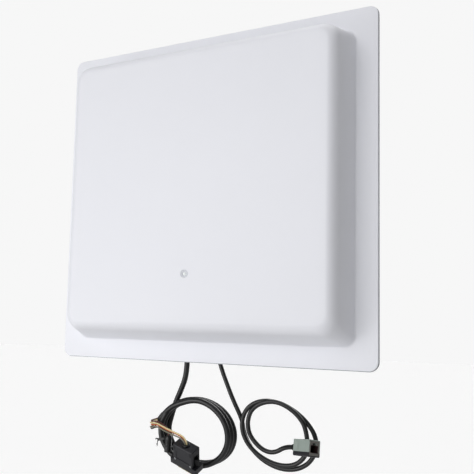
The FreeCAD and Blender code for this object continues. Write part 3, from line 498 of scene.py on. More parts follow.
through = {"yellow": [(-0.064, -0.007, -0.304), (-0.047, -0.013, -0.308), (-0.031, -0.023, -0.309)],
           "orange": [(-0.064, -0.005, -0.3065), (-0.047, -0.011, -0.3105), (-0.030, -0.021, -0.311)],
           "grey": [(-0.064, -0.0076, -0.308), (-0.047, -0.014, -0.312), (-0.031, -0.0245, -0.3125)]}
data_coil = {"centre": (-13.2, -316.0), "axes": (48.5, 41.0), "tilt": -9.0}
network_coil = {"centre": (98.9, -307.0), "axes": (46.5, 36.3), "tilt": -30.0}


def between(marks, degrees):
    """A smooth value between marks of (degrees round the coil, value)."""
    for (a, low), (b, high) in zip(marks, marks[1:]):
        if degrees <= b:
            t = max(0.0, (degrees - a) / (b - a))
            return low + (high - low) * t * t * (3 - 2 * t)
    return marks[-1][1]


def coil_point(coil, degrees, grow, y):
    """A point on a coil's ellipse, grown outwards, in millimetres."""
    a, t = math.radians(degrees), math.radians(coil["tilt"])
    u, w = (coil["axes"][0] + grow) * math.cos(a), (coil["axes"][1] + grow) * math.sin(a)
    return Vector((coil["centre"][0] + u * math.cos(t) - w * math.sin(t), y,
                   coil["centre"][1] + u * math.sin(t) + w * math.cos(t))) * MM


# how far each turn stands out from its coil's ellipse, and how deep it lies, round the turns
data_growth = [(165, -2), (200, -1), (279, 0.5), (369, 3.6), (459, 2.3), (510, 2.2), (549, 2.6), (639, 0.2),
               (729, 1.9), (819, 3.4), (880, 2.8), (909, 2.7), (999, 0), (1089, 0.2), (1179, 4.2)]
data_depth = [(165, 20), (440, 20), (550, 12), (800, 12), (910, 4), (1185, 4)]
network_growth = [(217, 5), (300, 5), (390, 4.4), (440, -0.4), (480, 1.2), (520, 4.8), (570, 4.6), (660, -1),
                  (750, -6), (800, 0.4), (840, 2.6), (880, -0.6), (930, -4.2)]
network_depth = [(217, 16), (430, 16), (540, 9.6), (940, 9.6)]


def turns(coil, steps, growth, depth, last):
    """A coil's own control points, from back to front."""
    first = growth[0][0]
    count = round((last - first) / 360 * steps)
    spots = [first + (last - first) * i / count for i in range(count + 1)]
    return [coil_point(coil, a, between(growth, a), between(depth, a)) for a in spots]


def spline_object(name, points, diameter, material, stands_for):
    """A round cable along one smooth line."""
    curve = bpy.data.curves.new(name, "CURVE")
    curve.dimensions = "3D"
    curve.bevel_depth = diameter / 2
    curve.bevel_resolution = 5
    curve.resolution_u = 10
    curve.use_fill_caps = True
    spline = curve.splines.new("NURBS")
    spline.points.add(len(points) - 1)
    for control, place in zip(spline.points, points):
        control.co = (*place, 1)
    spline.order_u = 3
    spline.use_endpoint_u = True
    curve.materials.append(material)
    obj = collection_link(bpy.data.objects.new(name, curve))
    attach(obj, "root")
    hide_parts(*stands_for)
    return obj


class READER_OT_cables(bpy.types.Operator):
    """Hangs the data and network cables in their coils"""
    bl_idname = "reader.cables"
    bl_label = "Cables"

    def execute(self, context):
        sizes = context.scene.reader_cables
        path = data_route + turns(data_coil, sizes.steps, data_growth, data_depth, 1178) + data_tail
        data = spline_object("data_cable_line", path, sizes.data, materials["data_jacket"],
                             ("data_cable", "data_coil", "data_tail"))
        # a short rubber sleeve closes the jacket where the wires come out
        run = (Vector(data_tail[-1]) - Vector(data_tail[-2])).normalized()
        turn = run.to_track_quat("Z", "Y").to_matrix().to_4x4()
        bm = bmesh.new()
        lathe(bm, [(3.8, -11), (4.15, -10.7), (4.2, -9.5), (4.2, -2.5), (4.0, -0.8), (3.4, 0.1), (2.9, 0.3), (0, 0.3)],
              Matrix.Translation(Vector(data_tail[-1])) @ turn, 28)
        sleeve = piece("jacket_sleeve", bm, materials["black_pvc"])
        path = network_route + turns(network_coil, sizes.steps, network_growth, network_depth, 940) + network_tail
        network = spline_object("network_cable_line", path, sizes.network, materials["network_jacket"],
                                ("network_cable", "network_coil", "network_tail"))
        return {"FINISHED"}


def wire_route(offset_y, offset_z, on, end):
    """Out of the jacket, fanned and folded back over the front of the coil."""
    jacket_end = Vector(data_tail[-1])
    run = (jacket_end - Vector(data_tail[-2])).normalized() * MM
    fan = 2.1 * offset_z
    fold = [Vector(p) * MM for p in ((-73.5, 4.5 + offset_y, -307.5 + fan), (-76.5, -1 + offset_y, -308.3 + fan),
                                     (-72, -5.5 + offset_y, -308 + fan))]
    return [jacket_end + Vector((0, offset_y, offset_z)) * MM - run] + fold + on + end


class READER_OT_wires(bpy.types.Operator):
    """Leads the loose wires to the data connector and to the power socket"""
    bl_idname = "reader.wires"
    bl_label = "Wires"

    def execute(self, context):
        diameter = context.scene.reader_cables.wire
        places = {"yellow": (-1.2, 1.4), "orange": (1.2, 0.0), "grey": (-1.2, -1.4)}
        for name, (y, z) in places.items():
            route = wire_route(y, z, through[name], list(hood_entries[name]))
            wire = spline_object(f"{name}_wire_line", route, diameter, materials[f"{name}_pvc"], (f"wire_{name}",))
        upper = wire_route(1.2, 2.5, [(-0.066, -0.0044, -0.303), (-0.055, -0.0066, -0.3045)],
                           [(-0.04401, -0.0083, -0.31102), (-0.04453, -0.0083, -0.3185)])
        lower = wire_route(1.2, -2.5, [(-0.066, -0.0044, -0.310), (-0.054, -0.0052, -0.3096)],
                           [(-0.04401, -0.0057, -0.31102), (-0.04453, -0.0057, -0.3185)])
        for name, route in (("power_wire_upper", upper), ("power_wire_lower", lower)):
            wire = spline_object(name, route, diameter, materials["red_pvc" if "upper" in name else "black_pvc"],
                                 ("power_wires",))
        return {"FINISHED"}


# ---------------------------------------------------------------- case
def boss_places():
    """Axes of the screws that hold the cover, from the cover's own screws in the frame."""
    mesh = frame["nodes"]["cover_screws"].data
    return cluster([v.co for v in mesh.vertices])


def cluster(points):
    """Centres in X and Z of groups of points that lie close together, in millimetres."""
    groups = []
    for p in points:
        for g in groups:
            if (Vector((p.x, p.z)) - g[0]).length < 0.012:
                g[1].append(Vector((p.x, p.z)))
                break
        else:
            groups.append([Vector((p.x, p.z)), [Vector((p.x, p.z))]])
    centres = []
    for _, members in groups:
        low = Vector((min(m.x for m in members), min(m.y for m in members)))
        high = Vector((max(m.x for m in members), max(m.y for m in members)))
        centres.append((low + high) / 2 / MM)
    return centres


def cross_screw(bm, matrix, head_r=2.9, head_height=1.8, shank_r=1.25, shank=14.0):
    """A pan-head screw with a cross recess: its head on the frame's XY plane, its shank down -Z."""
    start = set(bm.verts)
    steps, flat = 20, head_r * 0.58
    dome = [(0.0, -shank), (shank_r * 0.4, -shank), (shank_r, 0.9 - shank), (shank_r, 0.0), (head_r * 0.97, 0.0),
            (head_r, 0.15), (head_r, head_height * 0.35), (head_r * 0.95, head_height * 0.62),
            (head_r * 0.82, head_height * 0.85), (flat, head_height)]
    lathe(bm, dome, steps=steps)
    rim = [e for e in bm.edges if e.is_boundary and not (set(e.verts) & start)]
    arm, half = flat * 0.78, 0.36
    outline = []
    for quarter in range(4):
        turn = Matrix.Rotation(math.radians(90 * quarter), 3, "Z")
        outline += [turn @ Vector(p) for p in ((arm, -half, 0), (arm, half, 0), (half, half, 0))]
    top = loop(bm, [Vector((p.x, p.y, head_height)) * MM for p in outline])
    fill(bm, [rim, top])
    low = loop(bm, [Vector((p.x * 0.7, p.y * 0.7, head_height - 1.1)) * MM for p in outline])
    bmesh.ops.bridge_loops(bm, edges=top + low)
    bmesh.ops.edgeloop_fill(bm, edges=low)
    made = [v for v in bm.verts if v not in start]
    bmesh.ops.recalc_face_normals(bm, faces=list({f for v in made for f in v.link_faces}))
    bmesh.ops.transform(bm, matrix=matrix, verts=made)


def screws(name, places, y, material, node, shank=14.0):
    """A group of equal screws along Y, each stopped at its own angle."""
    bm = bmesh.new()
    for n, place in enumerate(places):
        spun = Matrix.Rotation(math.radians(37 * n), 4, "Z")
        cross_screw(bm, at(place.x, y, place.y, ALONG_Y @ spun), shank=shank)
    return piece(name, bm, material, stands_for=(node,))


class READER_OT_cover(bpy.types.Operator):
    """Moulds the raised front cover, with its screw bosses and light recess"""
    bl_idname = "reader.cover"
    bl_label = "Cover"

    def execute(self, context):
        s = context.scene.reader_panel
        low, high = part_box("radome_cover")
        half, rear, face = high.x / MM, high.y / MM, low.y / MM
        wall, inset, edge = s.wall / MM, s.inset / MM, s.edge / MM
        flange_front = rear - 3.0
        foot, cavity = half - s.flange / MM, half - s.flange / MM - wall
        foot_r, top_r, outer_r = s.foot_corner / MM, s.top_corner / MM, s.plate_corner / MM - 1.0
        seal = 12.0
        profile = rounded_profile([
            (cavity - inset - 15, face + wall, top_r - wall - 15, 0),
            (cavity - inset, face + wall, top_r - wall, edge - wall),
            (cavity, flange_front, foot_r - wall, 0), (cavity, rear, foot_r - wall, 0),
            (half - seal - 2, rear, outer_r - 4, 0), (half - seal - 2, rear - 1.5, outer_r - 4, 0),
            (half - seal + 2, rear - 1.5, outer_r, 0), (half - seal + 2, rear, outer_r, 0),
            (half, rear, outer_r, 0.25), (half, flange_front, outer_r, s.lip / MM),
            (foot, flange_front, foot_r, s.foot / MM), (foot - inset, face, top_r, edge),
            (foot - inset - 15, face, top_r - 15, 0)], 10)
        bm = bmesh.new()
        inner, outer = loft(bm, [square_points(p.x, max(1.0, p.z), p.y, s.corner_steps) for p in profile])
        light_low, light_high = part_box("light_bezel")
        x, z = (light_low.x + light_high.x) / 2 / MM, (light_low.z + light_high.z) / 2 / MM
        bezel_r = (light_high.x - light_low.x) / 2 / MM
        pipe_r = (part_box("light_pipe")[1].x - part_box("light_pipe")[0].x) / 2 / MM
        seat = light_high.y / MM
        recess = [(bezel_r + 1.6, face), (bezel_r + 0.5, face), (bezel_r + 0.15, face + 0.12),
                  (bezel_r, face + 0.45), (bezel_r, seat), (pipe_r, seat), (pipe_r, face + wall)]
        mouth, deep = loft(bm, [circle_points(x, y, z, r, 40) for r, y in recess])
        fill(bm, [outer, mouth])
        fill(bm, [inner, deep])
        bmesh.ops.recalc_face_normals(bm, faces=bm.faces)
        for p in boss_places():
            lathe(bm, [(1.25, -18), (5, -18), (5, -0.2), (1.25, -0.2)], at(p.x, rear, p.y, ALONG_Y), 24, True)
        piece("cover", bm, materials["white_abs"], stands_for=("radome_cover",), sharp=50)
        # the ring and the clear light guide in the recess
        bm = bmesh.new()
        lathe(bm, [(pipe_r + 0.05, 0.0), (bezel_r - 0.1, 0.0), (bezel_r - 0.1, -0.7), (bezel_r - 0.6, -1.1),
                   (pipe_r + 0.9, -0.85), (pipe_r + 0.3, -0.5), (pipe_r + 0.05, -0.2)],
              at(x, seat, z, ALONG_Y), 40, True)
        piece("light_ring", bm, materials["light_ring"], stands_for=("light_bezel",))
        pipe_low, pipe_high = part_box("light_pipe")
        front, long = pipe_low.y / MM, (pipe_high.y - pipe_low.y) / MM
        bm = bmesh.new()
        lathe(bm, [(0, long), (pipe_r - 0.2, long), (pipe_r, long - 0.2), (pipe_r, 0.8), (pipe_r * 0.85, 0.35),
                   (pipe_r * 0.5, 0.08), (0, 0)], at(x, front, z, ALONG_Y), 32)
        piece("light_guide", bm, materials["light_acrylic"], stands_for=("light_pipe",))
        return {"FINISHED"}


class READER_OT_back_plate(bpy.types.Operator):
    """Cuts the back plate and sets its studs and screws"""
    bl_idname = "reader.back_plate"
    bl_label = "Back plate"

    def execute(self, context):
        s = context.scene.reader_panel
        low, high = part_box("back_plate")
        half, front = high.x / MM, low.y / MM
        pattern = mounts["rear_studs"]["dims"]
        px, pz, stud_r = pattern["spacing_x_mm"] / 2, pattern["spacing_y_mm"] / 2, pattern["stud_r_mm"]
        stud_places = [Vector((a * px, b * pz)) for a in (-1, 1) for b in (-1, 1)]
        covers = boss_places()
        hoods = cluster([v.co for v in frame["nodes"]["hood_screws"].data.vertices])
        bm = bmesh.new()
        holes = [loop(bm, circle_points(p.x, 0, p.y, stud_r, 24)) for p in stud_places]
        holes += [loop(bm, circle_points(p.x, 0, p.y, 1.7, 16)) for p in covers + hoods]
        outer = loop(bm, square_points(half, s.plate_corner / MM, 0, s.corner_steps))
        hood_low, hood_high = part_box("cable_hood")
        middle = (hood_low.x + hood_high.x) / 2 / MM
        port = loop(bm, square_points(28.75, 1.0, 0, 3, 9.5, (middle, -160.0)))
        made = fill(bm, [outer, port] + holes)
        faces = [f for f in made["geom"] if isinstance(f, bmesh.types.BMFace)]
        pulled = bmesh.ops.extrude_face_region(bm, geom=faces, use_keep_orig=True)
        verts = [v for v in pulled["geom"] if isinstance(v, bmesh.types.BMVert)]
        bmesh.ops.translate(bm, verts=verts, vec=(0, front * MM, 0))
        bmesh.ops.recalc_face_normals(bm, faces=bm.faces)
        soften(piece("plate", bm, materials["sheet_aluminium"], stands_for=("back_plate",)), 0.25, 2, 60)
        screws("cover_screw_heads", covers, 0.0, materials["screw_steel"], "cover_screws")
        under_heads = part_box("hood_screws")[1].y / MM - 1.8
        screws("hood_screw_heads", hoods, under_heads, materials["screw_steel"], "hood_screws", shank=8.8)
        # rolled threads: a crest every millimetre, ending in a chamfer
        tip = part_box("mounting_studs")[1].y / MM
        profile = [(0, front - 1.4), (stud_r + 1.5, front - 1.4), (stud_r + 1.5, front), (stud_r, front), (stud_r, 1.2)]
        y = 1.2
        while y < tip - 1.8:
            profile += [(stud_r - 0.55, y + 0.5), (stud_r - 0.55, y + 0.62), (stud_r, y + 0.95), (stud_r, y + 1.05)]
            y += 1.0
        profile += [(stud_r - 0.8, tip), (0, tip)]
        bm = bmesh.new()
        for p in stud_places:
            lathe(bm, profile, at(p.x, 0, p.y, ALONG_Y), 28)
        piece("threaded_studs", bm, materials["zinc_steel"], stands_for=("mounting_studs",), sharp=25)
        return {"FINISHED"}


gland_y = 12.0            # how far behind the plate the cables leave the hood, in millimetres


class READER_OT_hood(bpy.types.Operator):
    """Moulds the cable hood on the back, with its two cable glands"""
    bl_idname = "reader.hood"
    bl_label = "Cable hood"

    def execute(self, context):
        low, high = [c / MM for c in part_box("cable_hood")]
        ear, lid = 7.0, 3.0
        bm = bmesh.new()
        shell = block(bm, (low.x + ear, low.y, low.z), (high.x - ear, high.y, high.z))
        round_edges(bm, edges_of(shell, lambda e: all(v.co.y > (high.y - 1) * MM for v in e.verts)), 4.0, 5)
        hood = piece("hood", bm, materials["black_abs"], stands_for=("cable_hood",))
        bm = bmesh.new()
        ears = block(bm, (low.x, low.y, low.z), (high.x, low.y + lid, high.z))
        round_edges(bm, edges_of(ears, lambda e: abs(e.verts[0].co.y - e.verts[1].co.y) > MM), 3.0, 5)
        carve(hood, bm, "UNION")
        bm = bmesh.new()
        block(bm, (low.x + ear + 2.5, low.y - 1, low.z + 2.5), (high.x - ear - 2.5, high.y - 2.5, high.z - 2.5))
        carve(hood, bm)
        bm = bmesh.new()
        gland_xs = sorted(self.gland_axes())
        for x in gland_xs:
            lathe(bm, [(0, -1), (6.0, -1), (6.0, 4), (0, 4)], at(x, gland_y, low.z), 32)
        for place in cluster([v.co for v in frame["nodes"]["hood_screws"].data.vertices]):
            lathe(bm, [(0, -4), (1.7, -4), (1.7, 9), (0, 9)], at(place.x, low.y, place.y, ALONG_Y), 16)
        # shallow ribs across the back stiffen the lid
        for i in range(5):
            x = (low.x + high.x) / 2 + (i - 2) * 13.0
            block(bm, (x - 3.2, high.y - 0.5, low.z + 10), (x + 3.2, high.y + 1, high.z - 8))
        carve(hood, bm)
        soften(hood, 0.35, 2)
        self.glands(gland_xs, low.z)
        return {"FINISHED"}

    def gland_axes(self):
        """X of the two cables' axes, in millimetres, from the tubes inside the hood."""
        return [sum(c.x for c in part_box(f"{name}_inner_cable")) / 2 / MM for name in ("data", "network")]

    def glands(self, xs, bottom):
        """Both cable glands: bodies through the hood's floor, and ribbed dome nuts under it."""
        y, hexagon = gland_y, 4
        cap_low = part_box("gland_caps")[0].z / MM
        bodies, caps = bmesh.new(), bmesh.new()
        for x, bore in zip(xs, (3.75, 2.9)):
            # the hexagon that a spanner holds
            verts = bmesh.ops.create_circle(bodies, cap_ends=True, segments=6, radius=8.4 * MM,
                                            matrix=at(x, y, bottom - hexagon))["verts"]
            face = verts[0].link_faces[0]
            top = bmesh.ops.extrude_face_region(bodies, geom=[face], use_keep_orig=True)["geom"]
            bmesh.ops.translate(bodies, verts=[v for v in top if isinstance(v, bmesh.types.BMVert)],
                                vec=(0, 0, hexagon * MM))
            lathe(bodies, [(5.2, bottom - 11), (6.5, bottom - 11), (6.5, bottom - 3.9), (5.2, bottom - 3.9)],
                  at(x, y, 0), 32, True)
            lathe(bodies, [(5.2, bottom - 0.1), (6.0, bottom - 0.1), (6.0, bottom + 8), (5.2, bottom + 8)],
                  at(x, y, 0), 32, True)
            cap_top = bottom - 4.5
            # the dome nut: a smooth nose under a ring of grip ribs
            lathe(caps, [(bore + 0.4, cap_low), (6.2, cap_low), (7.2, cap_low + 0.6), (7.9, cap_low + 2.2),
                         (7.9, cap_top), (6.6, cap_top), (6.6, cap_low + 3), (bore + 0.4, cap_low + 3)],
                  at(x, y, 0), 48, True)
            for n in range(16):
                turn = Matrix.Rotation(math.tau * n / 16, 4, "Z")
                block(caps, (7.6, -0.55, cap_low + 3.4), (8.2, 0.55, cap_top - 0.3), at(x, y, 0) @ turn)
        bmesh.ops.recalc_face_normals(bodies, faces=bodies.faces)
        soften(piece("gland_nuts", bodies, materials["black_nylon"], stands_for=("gland_bodies",)), 0.4, 2)
        soften(piece("gland_domes", caps, materials["black_nylon"], stands_for=("gland_caps",)), 0.15, 2)


# ---------------------------------------------------------------- data connector
def connector_frame():
    """The data connector's own frame, from the two thumbscrews' joints: X across, Z towards the cable."""
    left, right = [Vector(j["pos_m"]) for j in frame["joints"]]
    up = Vector(frame["joints"][0]["axis"]).normalized()
    across = (right - left).normalized()
    turn = Matrix((across, up.cross(across), up)).transposed().to_4x4()
    return Matrix.Translation((left + right) / 2) @ turn, (right - left).length / 2 / MM


def half_hood(name, side, node, place, screw_x):
    """One half of the connector's hood: side is -1 for the front half and 1 for the rear."""
    near, far = 0.04 * side, 8.0 * side
    low_y, high_y = min(near, far), max(near, far)
    bm = bmesh.new()
    base = block(bm, (-21, low_y, 0), (21, high_y, 8))
    round_edges(bm, edges_of(base, lambda e: abs(e.verts[0].co.z - e.verts[1].co.z) > MM
                             and abs(e.verts[0].co.y - far * MM) < MM), 1.6, 4)
    shell = piece(name, bm, materials["black_abs"], stands_for=(node,))
    bm = bmesh.new()
    body = block(bm, (-15.5, low_y, 4), (15.5, high_y, 33))
    outer = edges_of(body, lambda e: all(abs(v.co.y - far * MM) < 0.1 * MM for v in e.verts)
                     or (all(v.co.z > 30 * MM for v in e.verts)
                         and abs(e.verts[0].co.y - e.verts[1].co.y) > MM))
    round_edges(bm, outer, 1.4, 4)
    carve(shell, bm, "UNION")
    bm = bmesh.new()
    block(bm, (-9.5, -6, 4), (9.5, 6, 31))
    block(bm, (-12.2, -4.2, -1), (12.2, 4.2, 4.2))
    lathe(bm, [(0, 29), (2.4, 29), (2.4, 36), (0, 36)], steps=24)
    for x in (-screw_x, screw_x):
        lathe(bm, [(0, -2), (1.5, -2), (1.5, 8.0), (3.8, 8.01), (3.8, 24), (0, 24)], at(x, 0, 0), 28)
    # a shallow blank panel and grip grooves on the outer face
    block(bm, (-10.5, far - 0.45, 12.5), (10.5, far + 0.45, 24.5))
    for i in range(4):
        z = 26.3 + 1.5 * i
        block(bm, (-17, far - 0.4, z), (-11.5, far + 0.4, z + 0.7))
        block(bm, (11.5, far - 0.4, z), (17, far + 0.4, z + 0.7))
    carve(shell, bm)
    stand(shell, place)
    soften(shell, 0.22, 2)


class READER_OT_data_connector(bpy.types.Operator):
    """Builds the data connector: two hood halves, metal shell, case screws and turning thumbscrews"""
    bl_idname = "reader.data_connector"
    bl_label = "Data connector"

    def execute(self, context):
        place, screw_x = connector_frame()
        half_hood("connector_front", -1, "dsub_hood_front", place, screw_x)
        half_hood("connector_rear", 1, "dsub_hood_rear", place, screw_x)
        bm = bmesh.new()
        for x in (-12.4, 12.4):
            cross_screw(bm, place @ at(x, -7.9, 10.2, Matrix.Rotation(math.radians(90), 4, "X")), 1.5, 0.6, 0.8, 5.0)
        piece("case_screws", bm, materials["screw_steel"])
        bm = bmesh.new()
        lathe(bm, [(2.25, 29.5), (3.9, 29.5), (3.9, 33.2), (4.6, 33.4), (4.6, 34.6), (4.2, 35.0), (2.25, 35.0)],
              place, 28, True)
        piece("wire_grommet", bm, materials["black_pvc"])
        self.shell(place, screw_x)
        for name, x in (("left", -screw_x), ("right", screw_x)):
            self.thumbscrew(name, place @ at(x, 0, 0))
        return {"FINISHED"}

    def shell(self, place, screw_x):
        """The plated flange and its D-shaped nose, pressed from one sheet."""
        def outline(width, height, z, corner):
            slope = height * math.tan(math.radians(10))
            points = [Vector(p) for p in ((-width / 2, -height / 2, z), (width / 2, -height / 2, z),
                                          (width / 2 - slope, height / 2, z), (-width / 2 + slope, height / 2, z))]
            out = []
            for a, b, c in zip(points[-1:] + points, points, points[1:] + points[:1]):
                into, on = (a - b).normalized(), (c - b).normalized()
                for i in range(5):
                    t = i / 4
                    out.append(b + into * corner * (1 - t) ** 2 + on * corner * t ** 2)
            return [p * MM for p in out]
        bm = bmesh.new()
        walls = [(25.9, 9.3, -1.0, 2.6), (25.25, 8.65, -1.25, 2.3), (25.0, 8.4, -1.8, 2.1), (25.0, 8.4, -6.0, 2.0),
                 (24.0, 7.4, -6.0, 1.6), (24.0, 7.4, 0.0, 1.6)]
        nose = loft(bm, [outline(*w) for w in walls])
        rim = loft(bm, [[Vector((sx * 19.55, sy * 6.25, z)) * MM for sx, sy in ((-1, -1), (1, -1), (1, 1), (-1, 1))]
                        for z in (-1.0, 0.0)])
        holes = [loft(bm, [[Vector((x + 1.5 * math.cos(math.tau * i / 16), 1.5 * math.sin(math.tau * i / 16), z)) * MM
                            for i in range(16)] for z in (-1.0, 0.0)]) for x in (-screw_x, screw_x)]
        for face in (0, 1):
            fill(bm, [rim[face], nose[face]] + [hole[face] for hole in holes])
        bmesh.ops.recalc_face_normals(bm, faces=bm.faces)
        # small dimples that grip the mating half
        for i in range(6):
            for side in (-1, 1):
                dot = bmesh.ops.create_uvsphere(bm, u_segments=10, v_segments=6, radius=0.55 * MM)["verts"]
                bmesh.ops.scale(bm, vec=(1, 0.5, 1), verts=dot)
                bmesh.ops.translate(bm, verts=dot, vec=Vector(((i - 2.5) * 3.6, side * 4.15, -3.8)) * MM)
        bmesh.ops.transform(bm, matrix=place, verts=bm.verts)
        piece("connector_shell", bm, materials["yellow_zinc_steel"], stands_for=("dsub_shell",))

    def thumbscrew(self, side, place):
        """A knurled thumbscrew with a driver slot, free to turn in the hood."""
        bm = bmesh.new()
        low, high, r = 8.35, 20.3, 3.15
        teeth = 40
        levels = [(low, 0.88), (low + 0.5, 0.97), (low + 1.8, 0.97), (low + 2.0, 1.0), (high - 0.7, 1.0), (high, 0.86)]
        rings = []
        for z, share in levels:
            knurled = 0.16 if low + 1.9 < z < high - 0.5 else 0.0
            rings.append([Matrix.Rotation(math.pi * i / teeth, 3, "Z")
                          @ Vector((r * share - knurled * (i % 2), 0, z)) * MM for i in range(2 * teeth)])
        for end in loft(bm, rings):
            bmesh.ops.edgeloop_fill(bm, edges=end)
        bmesh.ops.recalc_face_normals(bm, faces=bm.faces)
        screw = piece(f"thumbscrew_{side}_head", bm, materials["black_nickel_steel"], body=f"thumbscrew_{side}",
                      stands_for=(f"thumbscrew_{side}",), sharp=25)
        bm = bmesh.new()
        block(bm, (-4, -0.4, high - 1.2), (4, 0.4, high + 1))
        carve(screw, bm)
        bm = bmesh.new()
        thread = [(0, -6.0), (1.0, -6.0)]
        for i in range(9):
            thread += [(1.38, -5.7 + 0.6 * i), (1.1, -5.4 + 0.6 * i)]
        lathe(bm, thread + [(1.3, 0.0), (1.3, low + 0.2), (0, low + 0.2)], steps=20)
        shank = piece(f"thumbscrew_{side}_shank", bm, materials["zinc_steel"], body=f"thumbscrew_{side}",
                      sharp=20)
        for obj in (screw, shank):
            stand(obj, place)


# ---------------------------------------------------------------- network jack
jack_place = frame_of(140.5, -14.0, -313.5, -36.0, -10.0, -13.0)


class READER_OT_network_jack(bpy.types.Operator):
    """Builds the network jack with its metal mouth, spring contacts and ribbed boot"""
    bl_idname = "reader.network_jack"
    bl_label = "Network jack"

    def execute(self, context):
        front, half_y, half_z, split = 14.0, 8.5, 9.5, -4.6
        floor, roof, side = -5.1, 3.5, 5.95
        for name, low_z, high_z, material, node in (
                ("jack_upper", split + 0.03, half_z, "jack_plastic", "jack_housing"),
                ("jack_base", -half_z, split, "black_abs", None)):
            bm = bmesh.new()
            body = block(bm, (-front, -half_y, low_z), (front, half_y, high_z))
            outer = half_z if node else -half_z
            round_edges(bm, edges_of(body, lambda e: abs(e.verts[0].co.x - e.verts[1].co.x) > MM
                                     and all(abs(v.co.z - outer * MM) < 0.1 * MM for v in e.verts)), 1.5, 4)
            stands_for = (node,) if node else ()
            shell = piece(name, bm, materials[material], stands_for=stands_for)
            bm = bmesh.new()
            block(bm, (-1, -side, floor), (front + 1, side, roof))
            block(bm, (front - 7, -3, roof - 0.1), (front + 1, 3, roof + 2.4))
            block(bm, (front - 0.5, -half_y + 1.2, -half_z + 1.2), (front + 1, half_y - 1.2, half_z - 1.2))
            for y in (-half_y, half_y):      # finger grips on both sides
                for i in range(4):
                    block(bm, (-11 + 2.2 * i, y - 0.35, -2.5), (-10 + 2.2 * i, y + 0.35, 6.5))
            carve(shell, bm)
            stand(shell, jack_place)
            soften(shell, 0.2, 2)
        self.mouth(front, half_y - 1.3, half_z - 1.3, side, floor, roof)
        self.boot()
        return {"FINISHED"}

    def mouth(self, front, half_y, half_z, side, floor, roof):
        bm = bmesh.new()
        block(bm, (front - 0.5, -half_y, -half_z), (front + 0.05, half_y, half_z))
        rim = piece("jack_rim", bm, materials["tin_plate"], stands_for=("jack_shield",))
        bm = bmesh.new()
        block(bm, (front - 2, -side, floor), (front + 1, side, roof))
        block(bm, (front - 2, -3, roof - 0.1), (front + 1, 3, roof + 2.4))
        carve(rim, bm)
        bm = bmesh.new()                      # painted shade: a dark box laid in the cavity
        block(bm, (-0.95, -side + 0.03, floor + 0.03), (front - 0.6, side - 0.03, roof - 0.03))
        shade_box = piece("jack_painted_shade", bm, materials["painted_shade_material"])
        bm = bmesh.new()
        block(bm, (-0.5, -side + 0.5, floor + 0.45), (front + 1, side - 0.5, roof - 0.5))
        carve(shade_box, bm)
        bm = bmesh.new()                      # spring contacts that rise towards the back
        for i in range(8):
            y = (i - 3.5) * 1.02
            path = [(-0.4, floor + 2.6), (1.5, floor + 3.6), (4.5, floor + 3.0), (8.5, floor + 1.0), (9.8, floor + 0.5)]
            for end in loft(bm, [[Vector((x, y + dy, z + dz)) * MM for dy, dz in
                                  ((-0.2, -0.12), (0.2, -0.12), (0.2, 0.12), (-0.2, 0.12))] for x, z in path]):
                bmesh.ops.edgeloop_fill(bm, edges=end)
        bmesh.ops.recalc_face_normals(bm, faces=bm.faces)
        contacts = piece("jack_springs", bm, materials["gold_contacts"], stands_for=("jack_contacts",))
        for obj in (rim, shade_box, contacts):
            stand(obj, jack_place)
        soften(rim, 0.12, 2)

    def boot(self):
        """A tapered strain relief with rings that let it bend."""
        profile = [(0, -24.0), (3.1, -24.0), (3.6, -23.8)]
        x = -23.4
        while x < -15.6:
            r = 3.8 + 2.0 * (x + 24) / 10
            profile += [(r, x), (r, x + 0.9), (r - 0.55, x + 1.1), (r - 0.55, x + 1.5)]
            x += 1.7
        profile += [(6.0, -15.0), (6.0, -14.0), (0, -14.0)]
        bm = bmesh.new()
        lathe(bm, profile, jack_place @ ALONG_X, 36)
        piece("jack_strain_relief", bm, materials["black_pvc"], stands_for=("jack_boot",), sharp=25)


# ---------------------------------------------------------------- power socket and tie
class READER_OT_power_socket(bpy.types.Operator):
    """Moulds the small round power socket on its pair of wires"""
    bl_idname = "reader.power_socket"
    bl_label = "Power socket"

    def execute(self, context):
        place = frame_of(-44.5, -7.0, -318.0, 0.0, 4.0, 0.0)
        bm = bmesh.new()
        profile = [(0, -13.0), (2.75, -13.0), (2.75, -21.6), (3.0, -22.0), (4.2, -22.0), (4.6, -21.6), (4.6, -14.5)]
        for i in range(5):
            z = -14.0 + 1.9 * i
            profile += [(4.25, z), (4.25, z + 0.6), (4.6, z + 0.9), (4.6, z + 1.5)]
        profile += [(4.4, -3.0), (3.6, -1.0), (2.6, -0.1), (0, 0)]
        lathe(bm, profile, place, 32)
        piece("power_socket_shell", bm, materials["black_pvc"], stands_for=("power_socket",), sharp=30)
        bm = bmesh.new()
        lathe(bm, [(0, -13.5), (1.0, -13.5), (1.0, -20.6), (0.7, -21.0), (0, -21.0)], place, 16)
        lathe(bm, [(2.2, -13.1), (2.75, -13.1), (2.75, -21.5), (2.55, -21.5)], place, 24, True)
        piece("power_pin", bm, materials["tin_plate"])
        return {"FINISHED"}


